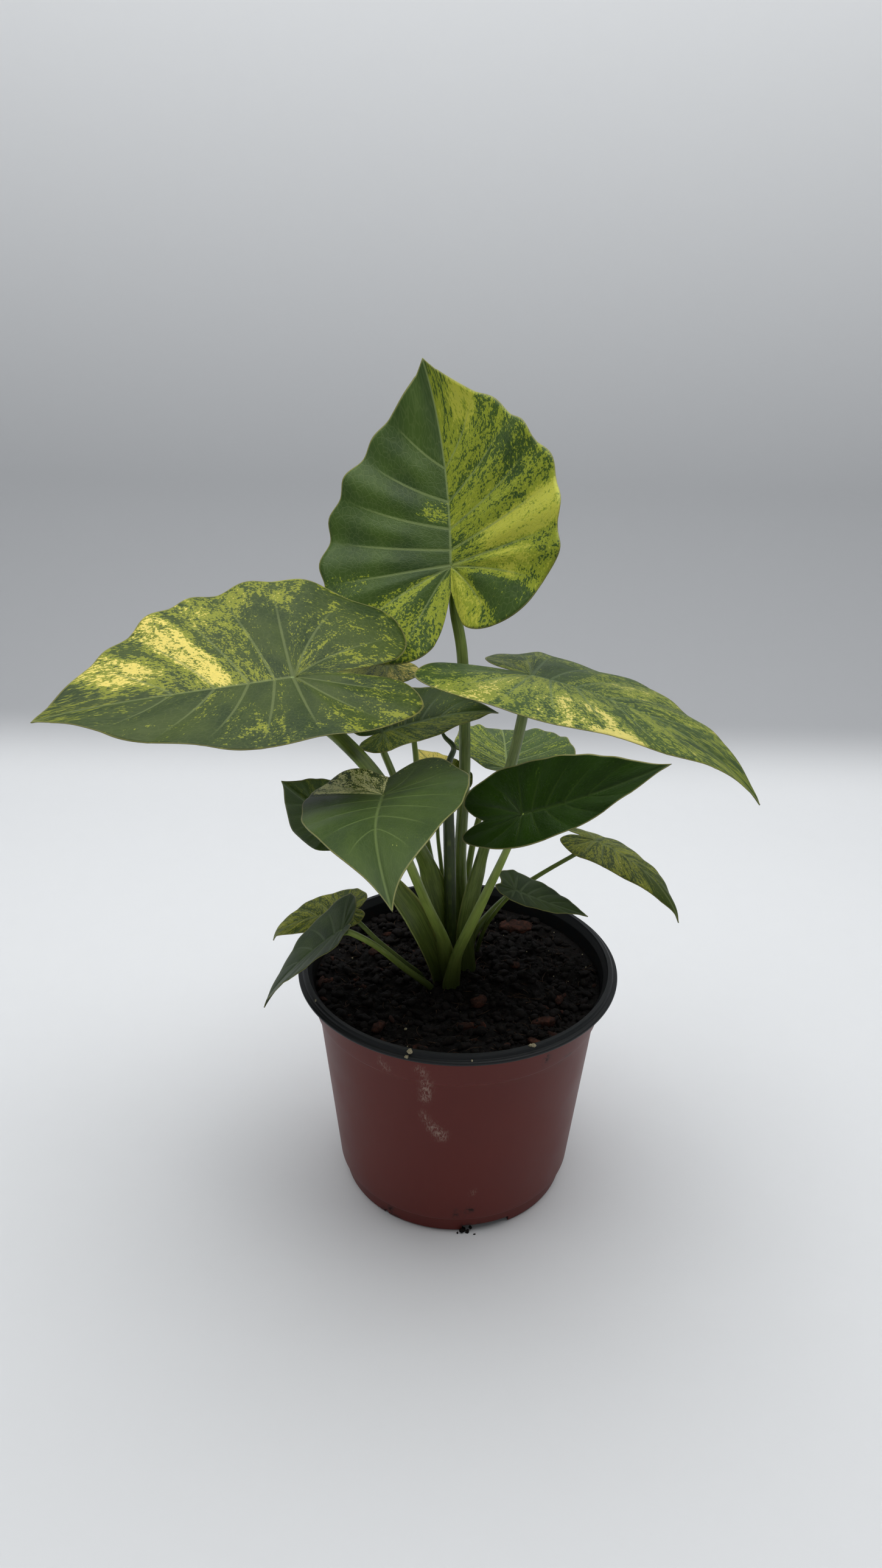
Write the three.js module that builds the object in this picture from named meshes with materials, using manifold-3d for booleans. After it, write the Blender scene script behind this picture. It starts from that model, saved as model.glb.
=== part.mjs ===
// Potted variegated alocasia in a two-tone nursery pot.
// Millimetres, +Z up. The origin is the middle of the pot's underside; -Y is the plant's front.

import * as THREE from 'three';
import Module from 'manifold-3d';
import { mergeVertices } from 'three/addons/utils/BufferGeometryUtils.js';

const wasm = await Module();
wasm.setup();

// ---- driving sizes ------------------------------------------------------------------------
const RIM_RADIUS = 75;
const POT_HEIGHT = 116;
const BASE_RADIUS = 54.3;
const WALL = 1.2;
const FLANGE_WIDTH = 5.3;
const FLANGE_DEPTH = 3.8;
const BAND_HEIGHT = 15.6;
const BAND_TAPER = 2.2;
const LEDGE_STEP = 1.6;
const FOOT_HEIGHT = 8;
const FOOT_STEP = 2;
const SOIL_DROP = 10;
const BLADE_THICKNESS = 0.8;
const KEEL_DEPTH = 1.3;
const FIT = 0.3;
const CHANNEL_WIDTH = 23;
const CHANNEL_HEIGHT = 3.5;
const CHANNEL_START = 12;
const CHANNEL_COUNT = 3;
const FIRST_CHANNEL = -72.5;
const DRAIN_HOLE_RADIUS = 4;
const EDGE_SLOT = [6, 2.4, 2];
const EDGE_SLOT_TURN = -52.5;
const AROUND = 60;
const DEG = Math.PI / 180;

const SOIL_LEVEL = POT_HEIGHT - SOIL_DROP;
// The two low leaves hang over the rim, so their blades spread with it. Their roots stay put.
const LOW_SPREAD = RIM_RADIUS / 75;

// ---- blade pattern ------------------------------------------------------------------------
// One row per side vein, from the tip to the notch between the back lobes:
// where it leaves the midrib (of the length), how far along it ends (of the length, or of the
// lobe length when it is behind the petiole) and how far out it ends (of the half width).
const RIBS = [
  [1.00, 1.00, 0.00],
  [0.68, 0.90, 0.13],
  [0.47, 0.77, 0.37],
  [0.31, 0.60, 0.64],
  [0.18, 0.42, 0.85],
  [0.08, 0.21, 0.97],
  [0.01, -0.05, 1.00],
  [0.00, -0.42, 0.93],
  [0.00, -0.82, 0.70],
  [0.00, -1.00, 0.40],
  [0.00, -0.80, 0.12],
  [0.00, 0.00, 0.00],
];

// Each leaf: `at` is where the petiole meets the blade. `aim` is the azimuth of the tip, its
// rise above level and the roll about the midrib. `size` is the length, lobe length, left and
// right half widths and notch depth. `curl` is the bend along the blade, the extra hook of the
// tip, the droop of the lobes and the upward fold of the halves, all in degrees. `cup` lowers
// the margins, `sweep` moves the tip sideways, and `lobe` scales the left lobe's length.
// `stem` lists the petiole from its root up: x, y, z, half width, half depth, openness.
// Heights are above the soil, and `low` marks a leaf that hangs over the rim.
const LEAVES = [
  {
    name: 'a', fine: true, at: [-7, 25, 192], aim: [93, 55, -36], size: [94, 34, 60, 65, 11],
    curl: [-12, -10, -2, 15], cup: 0, sweep: 6, lobe: 1.25, tone: 'leaf_lime',
    stem: [
      [2, 9, -9, 3.4, 3, 0], [2, 11, 12, 3.3, 3, 0], [1, 12, 38, 3, 3, 0], [0, 13, 61, 2.8, 2.8, 0],
      [1, 15, 103, 2.6, 2.6, 0], [-1, 21, 151, 2.5, 2.5, 0], [-5, 25, 174, 2.4, 2.4, 0],
    ],
  },
  {
    name: 'k', at: [-34, -14, 131], aim: [20, 12, 20], size: [56, 12, 20, 15, 4],
    curl: [18, 20, 5, 16], cup: 0.04, sweep: 2, lobe: 1, tone: 'leaf_dark',
    stem: [
      [-8, 11, -9, 3, 1.8, 0], [-10, 10, 19, 3, 1.8, 0], [-12, 8, 46, 2.4, 1.7, 0],
      [-16, 4, 64, 1.8, 1.7, 0], [-30, -6, 108, 1.6, 1.6, 0], [-34, -12, 123, 1.5, 1.5, 0],
    ],
  },
  {
    name: 'o', at: [-34, 30, 148], aim: [180, 2, -12], size: [60, 15, 26, 27, 6],
    curl: [10, 10, 5, 8], cup: 0, sweep: 0, lobe: 1, tone: 'leaf_cream',
    stem: [
      [-5, 15, -9, 2.3, 1.6, 0], [-9, 16, 19, 2.2, 1.6, 0], [-13, 17, 49, 1.7, 1.5, 0],
      [-19, 21, 79, 1.4, 1.4, 0], [-22, 27, 106, 1.3, 1.3, 0], [-25, 30, 126, 1.3, 1.3, 0],
      [-30, 31, 140, 1.2, 1.2, 0],
    ],
  },
  {
    name: 'l', at: [21, 40, 92], aim: [90, 0, 5], size: [70, 9, 27, 33, 5],
    curl: [13, 4, -5, 18], cup: 0, sweep: 0, lobe: 1, tone: 'leaf_lime',
    stem: [
      [3, 15, -9, 2.4, 1.7, 0], [3, 17, 24, 2, 1.6, 0], [4, 20, 47, 1.6, 1.5, 0],
      [8, 28, 69, 1.5, 1.5, 0], [15, 37, 84, 1.4, 1.4, 0],
    ],
  },
  {
    name: 'm', at: [-6, 33, 87], aim: [143, 31, 0], size: [23, 8, 13, 14, 3],
    curl: [0, 2, 0, 9], cup: 0, sweep: 0, lobe: 1, tone: 'leaf_cream',
    stem: [
      [-2, 19, -9, 1.6, 1.2, 0], [-6, 20, 24, 1.3, 1.1, 0], [-9, 21, 49, 1, 1, 0],
      [-11, 25, 66, 0.9, 0.9, 0], [-10, 30, 80, 0.9, 0.9, 0],
    ],
  },
  {
    name: 'c', fine: true, at: [27, -11, 157], aim: [-18, -6, -5], size: [109, 44, 46, 44, 6],
    curl: [25, 22, 12, 6], cup: 0.17, sweep: 0, lobe: 0.55, tone: 'leaf_dark', face: -66,
    stem: [
      [6, 3, -9, 4.6, 2.4, 0.4], [3, 4, 18, 4.6, 2.6, 0.5], [5, 4, 39, 4.4, 2.6, 0.5],
      [8, 4, 54, 3.6, 2.4, 0.2], [11, 3, 69, 2.6, 2.3, 0], [21, -5, 114, 2.4, 2.4, 0],
      [26, -10, 146, 2.3, 2.3, 0],
    ],
  },
  {
    name: 'b', fine: true, at: [-66, -39, 164], aim: [198, -4, -16], size: [100, 52, 45, 62, 17],
    curl: [-1, 12, 20, 5], cup: 0, sweep: -1, lobe: 0.9, tone: 'leaf_cream', face: 128,
    stem: [
      [-7, 3, -9, 5.2, 2.6, 0.5], [-5, 4, 16, 6.4, 3.2, 0.7], [-9, 2, 39, 6.8, 3.4, 0.7],
      [-13, 0, 54, 5.4, 3.2, 0.5], [-18, -4, 70, 3.4, 3, 0], [-34, -22, 111, 3.2, 3.1, 0],
      [-49, -36, 137, 3, 3, 0], [-64, -41, 152, 2.6, 2.6, 0],
    ],
  },
  {
    name: 'd', fine: true, at: [-30, -64, 126], aim: [-93, 9, 9], size: [93, 27, 34, 30, 19],
    curl: [-4, 53, -14, 9], cup: 0.1, sweep: 12, lobe: 1.1, tone: 'leaf_green',
    stem: [
      [-3, -3, -9, 4.2, 2.2, 0.4], [-5, -5, 8, 4.4, 2.4, 0.5], [-6, -9, 22, 4.2, 2.4, 0.4],
      [-8, -14, 33, 3, 2.2, 0], [-14, -26, 55, 2.2, 2.1, 0], [-22, -44, 88, 2, 2, 0],
      [-28, -57, 113, 1.9, 1.9, 0],
    ],
  },
  {
    name: 'f', at: [62, 16, 67], aim: [-30, -6, -2], size: [56, 15, 17, 13, 7],
    curl: [45, 17, 10, -13], cup: 0.1, sweep: -2, lobe: 1.1, tone: 'leaf_cream',
    stem: [
      [9, 9, -9, 3.4, 1.8, 0.3], [6, 11, 8, 3.2, 1.8, 0.3], [9, 12, 20, 2.4, 1.6, 0],
      [22, 17, 34, 1.6, 1.5, 0], [37, 20, 45, 1.1, 1.1, 0], [55, 18, 59, 1, 1, 0],
    ],
  },
  {
    name: 'j', at: [-52, -22, 94], aim: [187, 31, 77], size: [30, 13, 16, 25, 6],
    curl: [-2, 0, 0, 13], cup: 0, sweep: 4, lobe: 1, tone: 'leaf_dark', face: 142,
    stem: [
      [-8, -5, -9, 3.6, 2, 0.5], [-8, -8, 6, 4.6, 3, 0.8], [-12, -12, 24, 5.6, 4.2, 1],
      [-19, -17, 44, 6.2, 5, 1], [-27, -20, 58, 5, 4, 0.9], [-34, -21, 69, 2, 1.8, 0],
      [-46, -22, 86, 1.3, 1.3, 0],
    ],
  },
  {
    name: 'e', fine: true, at: [23, -62, 118], aim: [-38, 28, 56], size: [68, 29, 20, 14, 19],
    curl: [5, 2, -13, 9], cup: 0, sweep: 8, lobe: 1, tone: 'leaf_dark',
    stem: [
      [-2, -8, -9, 4, 2, 0.4], [-3, -10, 2, 4.5, 2.4, 0.5], [-2, -12, 12, 3.8, 2.4, 0.3],
      [0, -15, 24, 2.7, 2.3, 0], [7, -24, 48, 2.4, 2.2, 0], [19, -46, 94, 1.5, 1.5, 0],
      [22, -57, 111, 1.4, 1.4, 0],
    ],
  },
  {
    name: 'g', at: [25, -2, 50], aim: [-9, -20, 2], size: [36, 9, 16, 9, 7],
    curl: [-6, 4, -8, 3], cup: 0.08, sweep: 2, lobe: 1, tone: 'leaf_dark',
    stem: [
      [9, 19, -9, 1.2, 1.1, 0], [9, 18, 2, 1.1, 1.1, 0], [12, 13, 18, 1, 1, 0],
      [16, 6, 31, 0.9, 0.9, 0], [22, 0, 44, 0.9, 0.9, 0],
    ],
  },
  {
    name: 'i', low: true, at: [-51, -8, 40], aim: [174, -13, -20], size: [49, 9, 9, 15, 5],
    curl: [34, 30, -10, -5], cup: 0.08, sweep: -3, lobe: 1, tone: 'leaf_cream',
    stem: [
      [-13, -3, -9, 1.7, 1.4, 0], [-17, -6, 4, 1.5, 1.3, 0], [-25, -8, 13, 1.3, 1.2, 0],
      [-37, -9, 25, 1.2, 1.1, 0], [-46, -9, 35, 1.1, 1.1, 0],
    ],
  },
  {
    name: 'h', low: true, at: [-50, -38, 49], aim: [170, -40, -6], size: [60, 8, 22, 22, 4],
    curl: [18, 8, -6, 11], cup: 0.02, sweep: 2, lobe: 1, tone: 'leaf_dark',
    stem: [
      [-9, -8, -9, 2.4, 1.8, 0], [-12, -11, 1, 2.2, 1.7, 0], [-23, -19, 16, 1.7, 1.5, 0],
      [-36, -28, 34, 1.5, 1.4, 0], [-46, -35, 45, 1.4, 1.4, 0],
    ],
  },
];

// The rolled new leaf, as a petiole's list.
const SPEAR = [
  [-3, 5, -9, 2.8, 2.6, 0], [-4, 4, 33, 2.8, 2.7, 0], [-5, 4, 65, 2.7, 2.7, 0],
  [-6, 4, 94, 2.4, 2.4, 0], [-6, 4, 109, 1.9, 1.5, 0], [-4, 4, 117, 1.7, 1.2, 0],
  [-8, 4, 122, 1.1, 0.9, 0], [-10, 4, 126, 0.3, 0.3, 0],
];

// Bark chips on the soil: azimuth, share of the soil's radius, turn, length, width, thickness
// and tilt.
const CHIPS = [
  [-42, 0.78, 20, 11, 5, 3.5, 14], [-55, 0.9, -35, 7, 4, 2.5, -8], [-83, 0.6, 10, 10, 4, 2.5, 10],
  [57, 0.8, -15, 16, 11, 3.5, 12], [155, 0.63, 40, 12, 6, 3, -10], [-129, 0.81, 65, 8, 5, 2.5, 8],
];

const TONES = {
  terracotta: [0x7a3a34, 0.5],
  soil: [0x1d1612, 0.95],
  bark: [0x5a3224, 0.9],
  corm: [0x4b3a26, 0.85],
  leaf_green: [0x4f6b3a, 0.45],
  leaf_dark: [0x3c5233, 0.45],
  leaf_lime: [0x7f9440, 0.45],
  leaf_cream: [0x9a9a55, 0.45],
  stem: [0x5c6c26, 0.45],
};

// ---- small helpers ------------------------------------------------------------------------
const clamp = (v, low, high) => Math.min(high, Math.max(low, v));

function catmull(rows, x) {
  const i = clamp(Math.floor(x), 0, rows.length - 2);
  const f = x - i;
  const p0 = rows[Math.max(i - 1, 0)];
  const p1 = rows[i];
  const p2 = rows[i + 1];
  const p3 = rows[Math.min(i + 2, rows.length - 1)];
  return p1.map((_, k) => 0.5 * (2 * p1[k] + (p2[k] - p0[k]) * f
    + (2 * p0[k] - 5 * p1[k] + 4 * p2[k] - p3[k]) * f * f
    + (3 * p1[k] - p0[k] - 3 * p2[k] + p3[k]) * f * f * f));
}

function weld(geometry) {
  const plain = geometry.clone();
  plain.deleteAttribute('normal');
  plain.deleteAttribute('uv');
  return mergeVertices(plain, 1e-4);
}

function solid(geometry) {
  const g = weld(geometry);
  const index = Array.from(g.index.array);
  const kept = [];
  for (let i = 0; i < index.length; i += 3) {
    const [a, b, c] = index.slice(i, i + 3);
    if (a !== b && b !== c && a !== c) kept.push(a, b, c);
  }
  return new wasm.Manifold(new wasm.Mesh({
    numProp: 3,
    vertProperties: new Float32Array(g.attributes.position.array),
    triVerts: new Uint32Array(kept),
  }));
}

function largest(body) {
  const parts = body.decompose();
  return parts.reduce((best, one) => (one.volume() > best.volume() ? one : best));
}

function toGeometry(body) {
  const mesh = body.getMesh();
  const g = new THREE.BufferGeometry();
  const points = new Float32Array(mesh.numVert * 3);
  for (let i = 0; i < mesh.numVert; i += 1) {
    for (let k = 0; k < 3; k += 1) points[3 * i + k] = mesh.vertProperties[mesh.numProp * i + k];
  }
  g.setAttribute('position', new THREE.BufferAttribute(points, 3));
  g.setIndex(new THREE.BufferAttribute(new Uint32Array(mesh.triVerts), 1));
  g.computeVertexNormals();
  return g;
}

function lathe(profile, segments = AROUND) {
  const points = profile.map(([r, z]) => new THREE.Vector2(r, z));
  const g = new THREE.LatheGeometry(points, segments);
  g.rotateX(Math.PI / 2);
  return g;
}

function box(length, width, height, x, y, z, turn) {
  const g = new THREE.BoxGeometry(length, width, height);
  g.translate(x, y, z);
  g.rotateZ(turn * DEG);
  return solid(g);
}

// ---- blade --------------------------------------------------------------------------------
function bladeFrame(leaf) {
  const [az, el, roll] = leaf.aim.map((v) => v * DEG);
  const along = new THREE.Vector3(Math.cos(el) * Math.cos(az), Math.cos(el) * Math.sin(az), Math.sin(el));
  const level = new THREE.Vector3(-Math.sin(az), Math.cos(az), 0);
  const up = new THREE.Vector3().crossVectors(along, level);
  const left = level.clone().multiplyScalar(Math.cos(roll)).addScaledVector(up, Math.sin(roll));
  const normal = up.multiplyScalar(Math.cos(roll)).addScaledVector(level, -Math.sin(roll));
  return { along, left, normal };
}

function bladePoint(leaf, axes, s, t) {
  const [length, lobe, leftWide, rightWide] = leaf.size;
  const [bend, hook, droop, fold] = leaf.curl.map((v) => v * DEG);
  const back = t > 0 ? lobe * leaf.lobe : lobe;
  let x = 0;
  let z = 0;
  let turn = 0;
  if (s > 0) {
    const steps = 24;
    const reach = Math.min(s / length, 1);
    for (let i = 0; i < steps; i += 1) {
      const u = ((i + 0.5) / steps) * reach;
      const angle = bend * u + hook * u ** 4;
      x += (Math.cos(angle) * reach * length) / steps;
      z -= (Math.sin(angle) * reach * length) / steps;
    }
    turn = bend * reach + hook * reach ** 4;
  } else {
    const u = clamp(-s / back, 0, 2);
    turn = -droop * u;
    x = s * Math.cos(turn / 2);
    z = s * Math.sin(-turn / 2);
  }
  const wide = t > 0 ? leftWide : rightWide;
  const rise = Math.tan(fold) * (Math.sqrt(t * t + 2.25) - 1.5) - (leaf.cup * t * t) / wide;
  const across = t * Math.cos(fold) + leaf.sweep * clamp(s / length, 0, 1) ** 2;
  return new THREE.Vector3(...leaf.at)
    .addScaledVector(axes.along, x + rise * Math.sin(turn))
    .addScaledVector(axes.left, across)
    .addScaledVector(axes.normal, z + rise * Math.cos(turn));
}

function bladeSurface(leaf) {
  const [length, lobe, leftWide, rightWide, notch] = leaf.size;
  const axes = bladeFrame(leaf);
  const steps = leaf.fine ? 22 : 11;
  const spans = leaf.fine ? 4 : 3;
  const points = [];
  const keel = [];
  const faces = [];
  for (const side of [1, -1]) {
    const wide = side > 0 ? leftWide : rightWide;
    const back = side > 0 ? lobe * leaf.lobe : lobe;
    const rows = RIBS.map(([start, end, out]) => (
      [start * length, end * (end > 0 ? length : back), out * wide]));
    rows[rows.length - 1][1] = -notch;
    const first = points.length / 3;
    for (let i = 0; i <= steps; i += 1) {
      const [root, end, out] = catmull(rows, (i * (RIBS.length - 1)) / steps);
      const from = Math.max(root, 0);
      const to = Math.max(out, 0);
      for (let j = 0; j <= spans; j += 1) {
        const q = j / spans;
        const s = (1 - q) ** 2 * from + 2 * q * (1 - q) * (from + 0.35 * (end - from)) + q * q * end;
        const t = 2 * q * (1 - q) * 0.55 * to + q * q * to;
        points.push(...bladePoint(leaf, axes, s, side * t).toArray());
        keel.push(j === 0 ? KEEL_DEPTH * (1 - 0.8 * clamp(s / length, 0, 1)) : 0);
      }
    }
    for (let i = 0; i < steps; i += 1) {
      for (let j = 0; j < spans; j += 1) {
        const a = first + i * (spans + 1) + j;
        const b = a + spans + 1;
        const quad = side > 0 ? [a, a + 1, b + 1, a, b + 1, b] : [a, b + 1, a + 1, a, b, b + 1];
        faces.push(...quad);
      }
    }
  }
  const g = new THREE.BufferGeometry();
  g.setAttribute('position', new THREE.Float32BufferAttribute(points, 3));
  g.setAttribute('keel', new THREE.Float32BufferAttribute(keel, 1));
  g.setIndex(faces);
  return mergeVertices(g, 1e-3);
}

function thicken(surface, over, under) {
  const count = surface.attributes.position.count;
  const index = [];
  for (let i = 0; i < surface.index.count; i += 3) {
    const [a, b, c] = [0, 1, 2].map((k) => surface.index.array[i + k]);
    if (a !== b && b !== c && a !== c) index.push([a, b, c]);
  }
  surface.setIndex(index.flat());
  surface.computeVertexNormals();
  const place = surface.attributes.position;
  const normal = surface.attributes.normal;
  const points = [];
  for (const [sign, amount] of [[1, over], [-1, under]]) {
    for (let i = 0; i < count; i += 1) {
      const d = amount + (sign < 0 ? surface.attributes.keel.getX(i) : 0);
      points.push(place.getX(i) + sign * d * normal.getX(i));
      points.push(place.getY(i) + sign * d * normal.getY(i));
      points.push(place.getZ(i) + sign * d * normal.getZ(i));
    }
  }
  const directed = new Set();
  for (const [a, b, c] of index) {
    directed.add(`${a},${b}`).add(`${b},${c}`).add(`${c},${a}`);
  }
  const faces = [];
  for (const [a, b, c] of index) faces.push(a, b, c, count + a, count + c, count + b);
  for (const key of directed) {
    const [u, v] = key.split(',').map(Number);
    if (!directed.has(`${v},${u}`)) faces.push(v, u, count + u, v, count + u, count + v);
  }
  const g = new THREE.BufferGeometry();
  g.setAttribute('position', new THREE.Float32BufferAttribute(points, 3));
  g.setIndex(faces);
  return g;
}

function blade(leaf, grow = 0) {
  const half = BLADE_THICKNESS / 2 + grow;
  return solid(thicken(bladeSurface(leaf), half, half));
}

// ---- petiole ------------------------------------------------------------------------------
function section(wide, deep, open, grow) {
  const points = [];
  const sides = 10;
  for (let i = 0; i < sides; i += 1) {
    const angle = (2 * Math.PI * i) / sides;
    const sine = Math.sin(angle);
    const inner = (-1 + 1.7 * open) * deep - grow;
    const depth = sine >= 0 ? (deep + grow) * sine : inner * -sine;
    points.push([(wide + grow) * Math.cos(angle), depth]);
  }
  return points;
}

function loft(route, outward, grow = 0) {
  const steps = (route.length - 1) * 2;
  const level = new THREE.Vector3(-outward.y, outward.x, 0);
  const rings = [];
  for (let i = 0; i <= steps; i += 1) {
    const x = i / 2;
    const here = catmull(route, x);
    const ahead = catmull(route, Math.min(x + 0.05, route.length - 1));
    const behind = catmull(route, Math.max(x - 0.05, 0));
    const run = new THREE.Vector3(...ahead.slice(0, 3)).sub(new THREE.Vector3(...behind.slice(0, 3)));
    run.normalize();
    const wide = level.clone().addScaledVector(run, -level.dot(run)).normalize();
    const deep = new THREE.Vector3().crossVectors(wide, run).normalize();
    if (deep.dot(outward) < 0 && run.z > 0.2) deep.negate();
    const centre = new THREE.Vector3(...here.slice(0, 3));
    if (i === 0) centre.addScaledVector(run, -grow);
    if (i === steps) centre.addScaledVector(run, grow);
    const ring = section(here[3], here[4], clamp(here[5], 0, 1), grow);
    rings.push(ring.map(([u, v]) => centre.clone().addScaledVector(wide, u).addScaledVector(deep, v)));
  }
  const sides = rings[0].length;
  const points = rings.flat().flatMap((p) => p.toArray());
  const faces = [];
  for (let i = 0; i < rings.length - 1; i += 1) {
    for (let j = 0; j < sides; j += 1) {
      const a = i * sides + j;
      const b = i * sides + ((j + 1) % sides);
      faces.push(a, b, b + sides, a, b + sides, a + sides);
    }
  }
  const caps = [[route[0], 0, true], [route[route.length - 1], (rings.length - 1) * sides, false]];
  for (const [row, base, flip] of caps) {
    const outline = section(row[3], row[4], clamp(row[5], 0, 1), grow);
    const flat = outline.map(([u, v]) => new THREE.Vector2(u, v));
    for (const [a, b, c] of THREE.ShapeUtils.triangulateShape(flat, [])) {
      if (flip) faces.push(base + a, base + c, base + b);
      else faces.push(base + a, base + b, base + c);
    }
  }
  const g = new THREE.BufferGeometry();
  g.setAttribute('position', new THREE.Float32BufferAttribute(points, 3));
  g.setIndex(faces);
  const body = solid(g);
  return body.volume() < 0 ? solid(flipped(g)) : body;
}

function flipped(geometry) {
  const g = geometry.clone();
  const index = Array.from(g.index.array);
  const turned = [];
  for (let i = 0; i < index.length; i += 3) turned.push(index[i], index[i + 2], index[i + 1]);
  g.setIndex(turned);
  return g;
}

function petioleRoute(leaf) {
  const last = leaf.stem[leaf.stem.length - 1];
  return [...leaf.stem, [...leaf.at, last[3], last[4], 0]];
}

// A sheath's back points away from the crown, or to the azimuth `face`.
function outwardOf(leaf) {
  if (leaf.face !== undefined) {
    return new THREE.Vector3(Math.cos(leaf.face * DEG), Math.sin(leaf.face * DEG), 0);
  }
  const [x, y] = leaf.at;
  return new THREE.Vector3(x - leaf.stem[0][0], y - leaf.stem[0][1], 0).normalize();
}

// ---- pot ----------------------------------------------------------------------------------
const BAND_TOP = [RIM_RADIUS - FLANGE_WIDTH, POT_HEIGHT - FLANGE_DEPTH];
const BAND_BOTTOM = [BAND_TOP[0] - BAND_TAPER, BAND_TOP[1] - BAND_HEIGHT];
const WALL_TOP = [BAND_BOTTOM[0] - LEDGE_STEP, BAND_BOTTOM[1] - LEDGE_STEP];
const FOOT_TOP = [BASE_RADIUS + 0.7, FOOT_HEIGHT];
const WALL_BOTTOM = [FOOT_TOP[0] + FOOT_STEP, FOOT_HEIGHT + 0.9 * FOOT_STEP];
const FLANGE = [
  [FLANGE_WIDTH - 0.6, 0], [FLANGE_WIDTH, 0.6], [FLANGE_WIDTH, 1.5], [FLANGE_WIDTH - 0.6, 2],
  [FLANGE_WIDTH - 1.8, 2.1], [FLANGE_WIDTH - 2.1, FLANGE_DEPTH - 0.6], [FLANGE_WIDTH - 2.7, FLANGE_DEPTH],
];
const LIP_RADIUS = BAND_TOP[0] + FLANGE_WIDTH - 4.4;

// The inside of the wall from the floor to the lip, `gap` further in than the plastic.
function insideProfile(gap = 0) {
  const t = WALL + gap;
  const points = [[BASE_RADIUS - t, t], ...[FOOT_TOP, WALL_BOTTOM, WALL_TOP, BAND_BOTTOM, BAND_TOP]
    .map(([r, z]) => [r - t, z + 0.3 * t])];
  return [[0, t], ...points];
}

function insideRadius(z, gap) {
  const points = insideProfile(gap).slice(1);
  const i = Math.max(1, points.findIndex((p) => p[1] >= z));
  const [[r0, z0], [r1, z1]] = [points[i - 1], points[i]];
  return r0 + ((r1 - r0) * (z - z0)) / (z1 - z0);
}

function channels(width, height, from, to, below) {
  const bodies = [];
  for (let i = 0; i < CHANNEL_COUNT; i += 1) {
    const turn = FIRST_CHANNEL + (360 / CHANNEL_COUNT) * i;
    bodies.push(box(to - from, width, height + below, (from + to) / 2, 0, (height - below) / 2, turn));
  }
  return wasm.Manifold.union(bodies);
}

function potBody() {
  const outside = solid(lathe([
    [0, 0], [BASE_RADIUS - 0.8, 0], [BASE_RADIUS, 0.8], FOOT_TOP, WALL_BOTTOM, WALL_TOP, BAND_BOTTOM,
    BAND_TOP, ...FLANGE.map(([r, z]) => [BAND_TOP[0] + r, BAND_TOP[1] + z]), [0, POT_HEIGHT],
  ]));
  const hollow = solid(lathe([
    ...insideProfile(), [LIP_RADIUS - 0.4, POT_HEIGHT - 0.8], [LIP_RADIUS, POT_HEIGHT],
    [LIP_RADIUS, POT_HEIGHT + 5], [0, POT_HEIGHT + 5],
  ]));
  const edge = BASE_RADIUS + 6;
  const raised = channels(CHANNEL_WIDTH + 2 * WALL, CHANNEL_HEIGHT + WALL, CHANNEL_START, edge, 0);
  let pot = outside.subtract(hollow.subtract(raised));
  pot = pot.subtract(channels(CHANNEL_WIDTH, CHANNEL_HEIGHT, CHANNEL_START + WALL, edge + 2, 1));
  const [slotLength, slotWidth, slotHeight] = EDGE_SLOT;
  for (let i = 0; i < CHANNEL_COUNT; i += 1) {
    const turn = FIRST_CHANNEL + (360 / CHANNEL_COUNT) * i;
    const hole = new THREE.CylinderGeometry(DRAIN_HOLE_RADIUS, DRAIN_HOLE_RADIUS, 20, 24);
    hole.rotateX(Math.PI / 2);
    hole.translate(0.7 * BASE_RADIUS, 0, 0);
    hole.rotateZ(turn * DEG);
    pot = pot.subtract(solid(hole));
    const slotTurn = turn + EDGE_SLOT_TURN;
    pot = pot.subtract(box(slotLength, slotWidth, 2 * slotHeight, BASE_RADIUS, 0, 0, slotTurn));
  }
  return largest(pot);
}

// ---- soil ---------------------------------------------------------------------------------
const SOIL_RADIUS = insideRadius(SOIL_LEVEL, FIT);

function soilHeight(x, y) {
  const r = Math.hypot(x, y);
  const wave = 0.9 * Math.sin(x * 0.21 + 1.3) * Math.cos(y * 0.17) + 0.7 * Math.sin(y * 0.33 + x * 0.12);
  return SOIL_LEVEL + wave * clamp((SOIL_RADIUS - r) / 10, 0, 1) + 1.2 * Math.exp(-((r / 26) ** 2));
}

function soilBlock() {
  const wall = insideProfile(FIT).filter(([, z]) => z < SOIL_LEVEL - 1);
  const rings = [1, 0.9, 0.78, 0.66, 0.54, 0.42, 0.3, 0.15, 0].map((f) => [f * SOIL_RADIUS, SOIL_LEVEL]);
  const g = weld(lathe([...wall, ...rings], 48));
  const place = g.attributes.position;
  for (let i = 0; i < place.count; i += 1) {
    const [x, y, z] = [place.getX(i), place.getY(i), place.getZ(i)];
    if (z > SOIL_LEVEL - 0.5) place.setZ(i, soilHeight(x, y));
  }
  const width = CHANNEL_WIDTH + 2 * WALL + 2 * FIT;
  const height = CHANNEL_HEIGHT + WALL + FIT;
  return solid(g).subtract(channels(width, height, CHANNEL_START - FIT, BASE_RADIUS + 6, 0));
}

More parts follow.
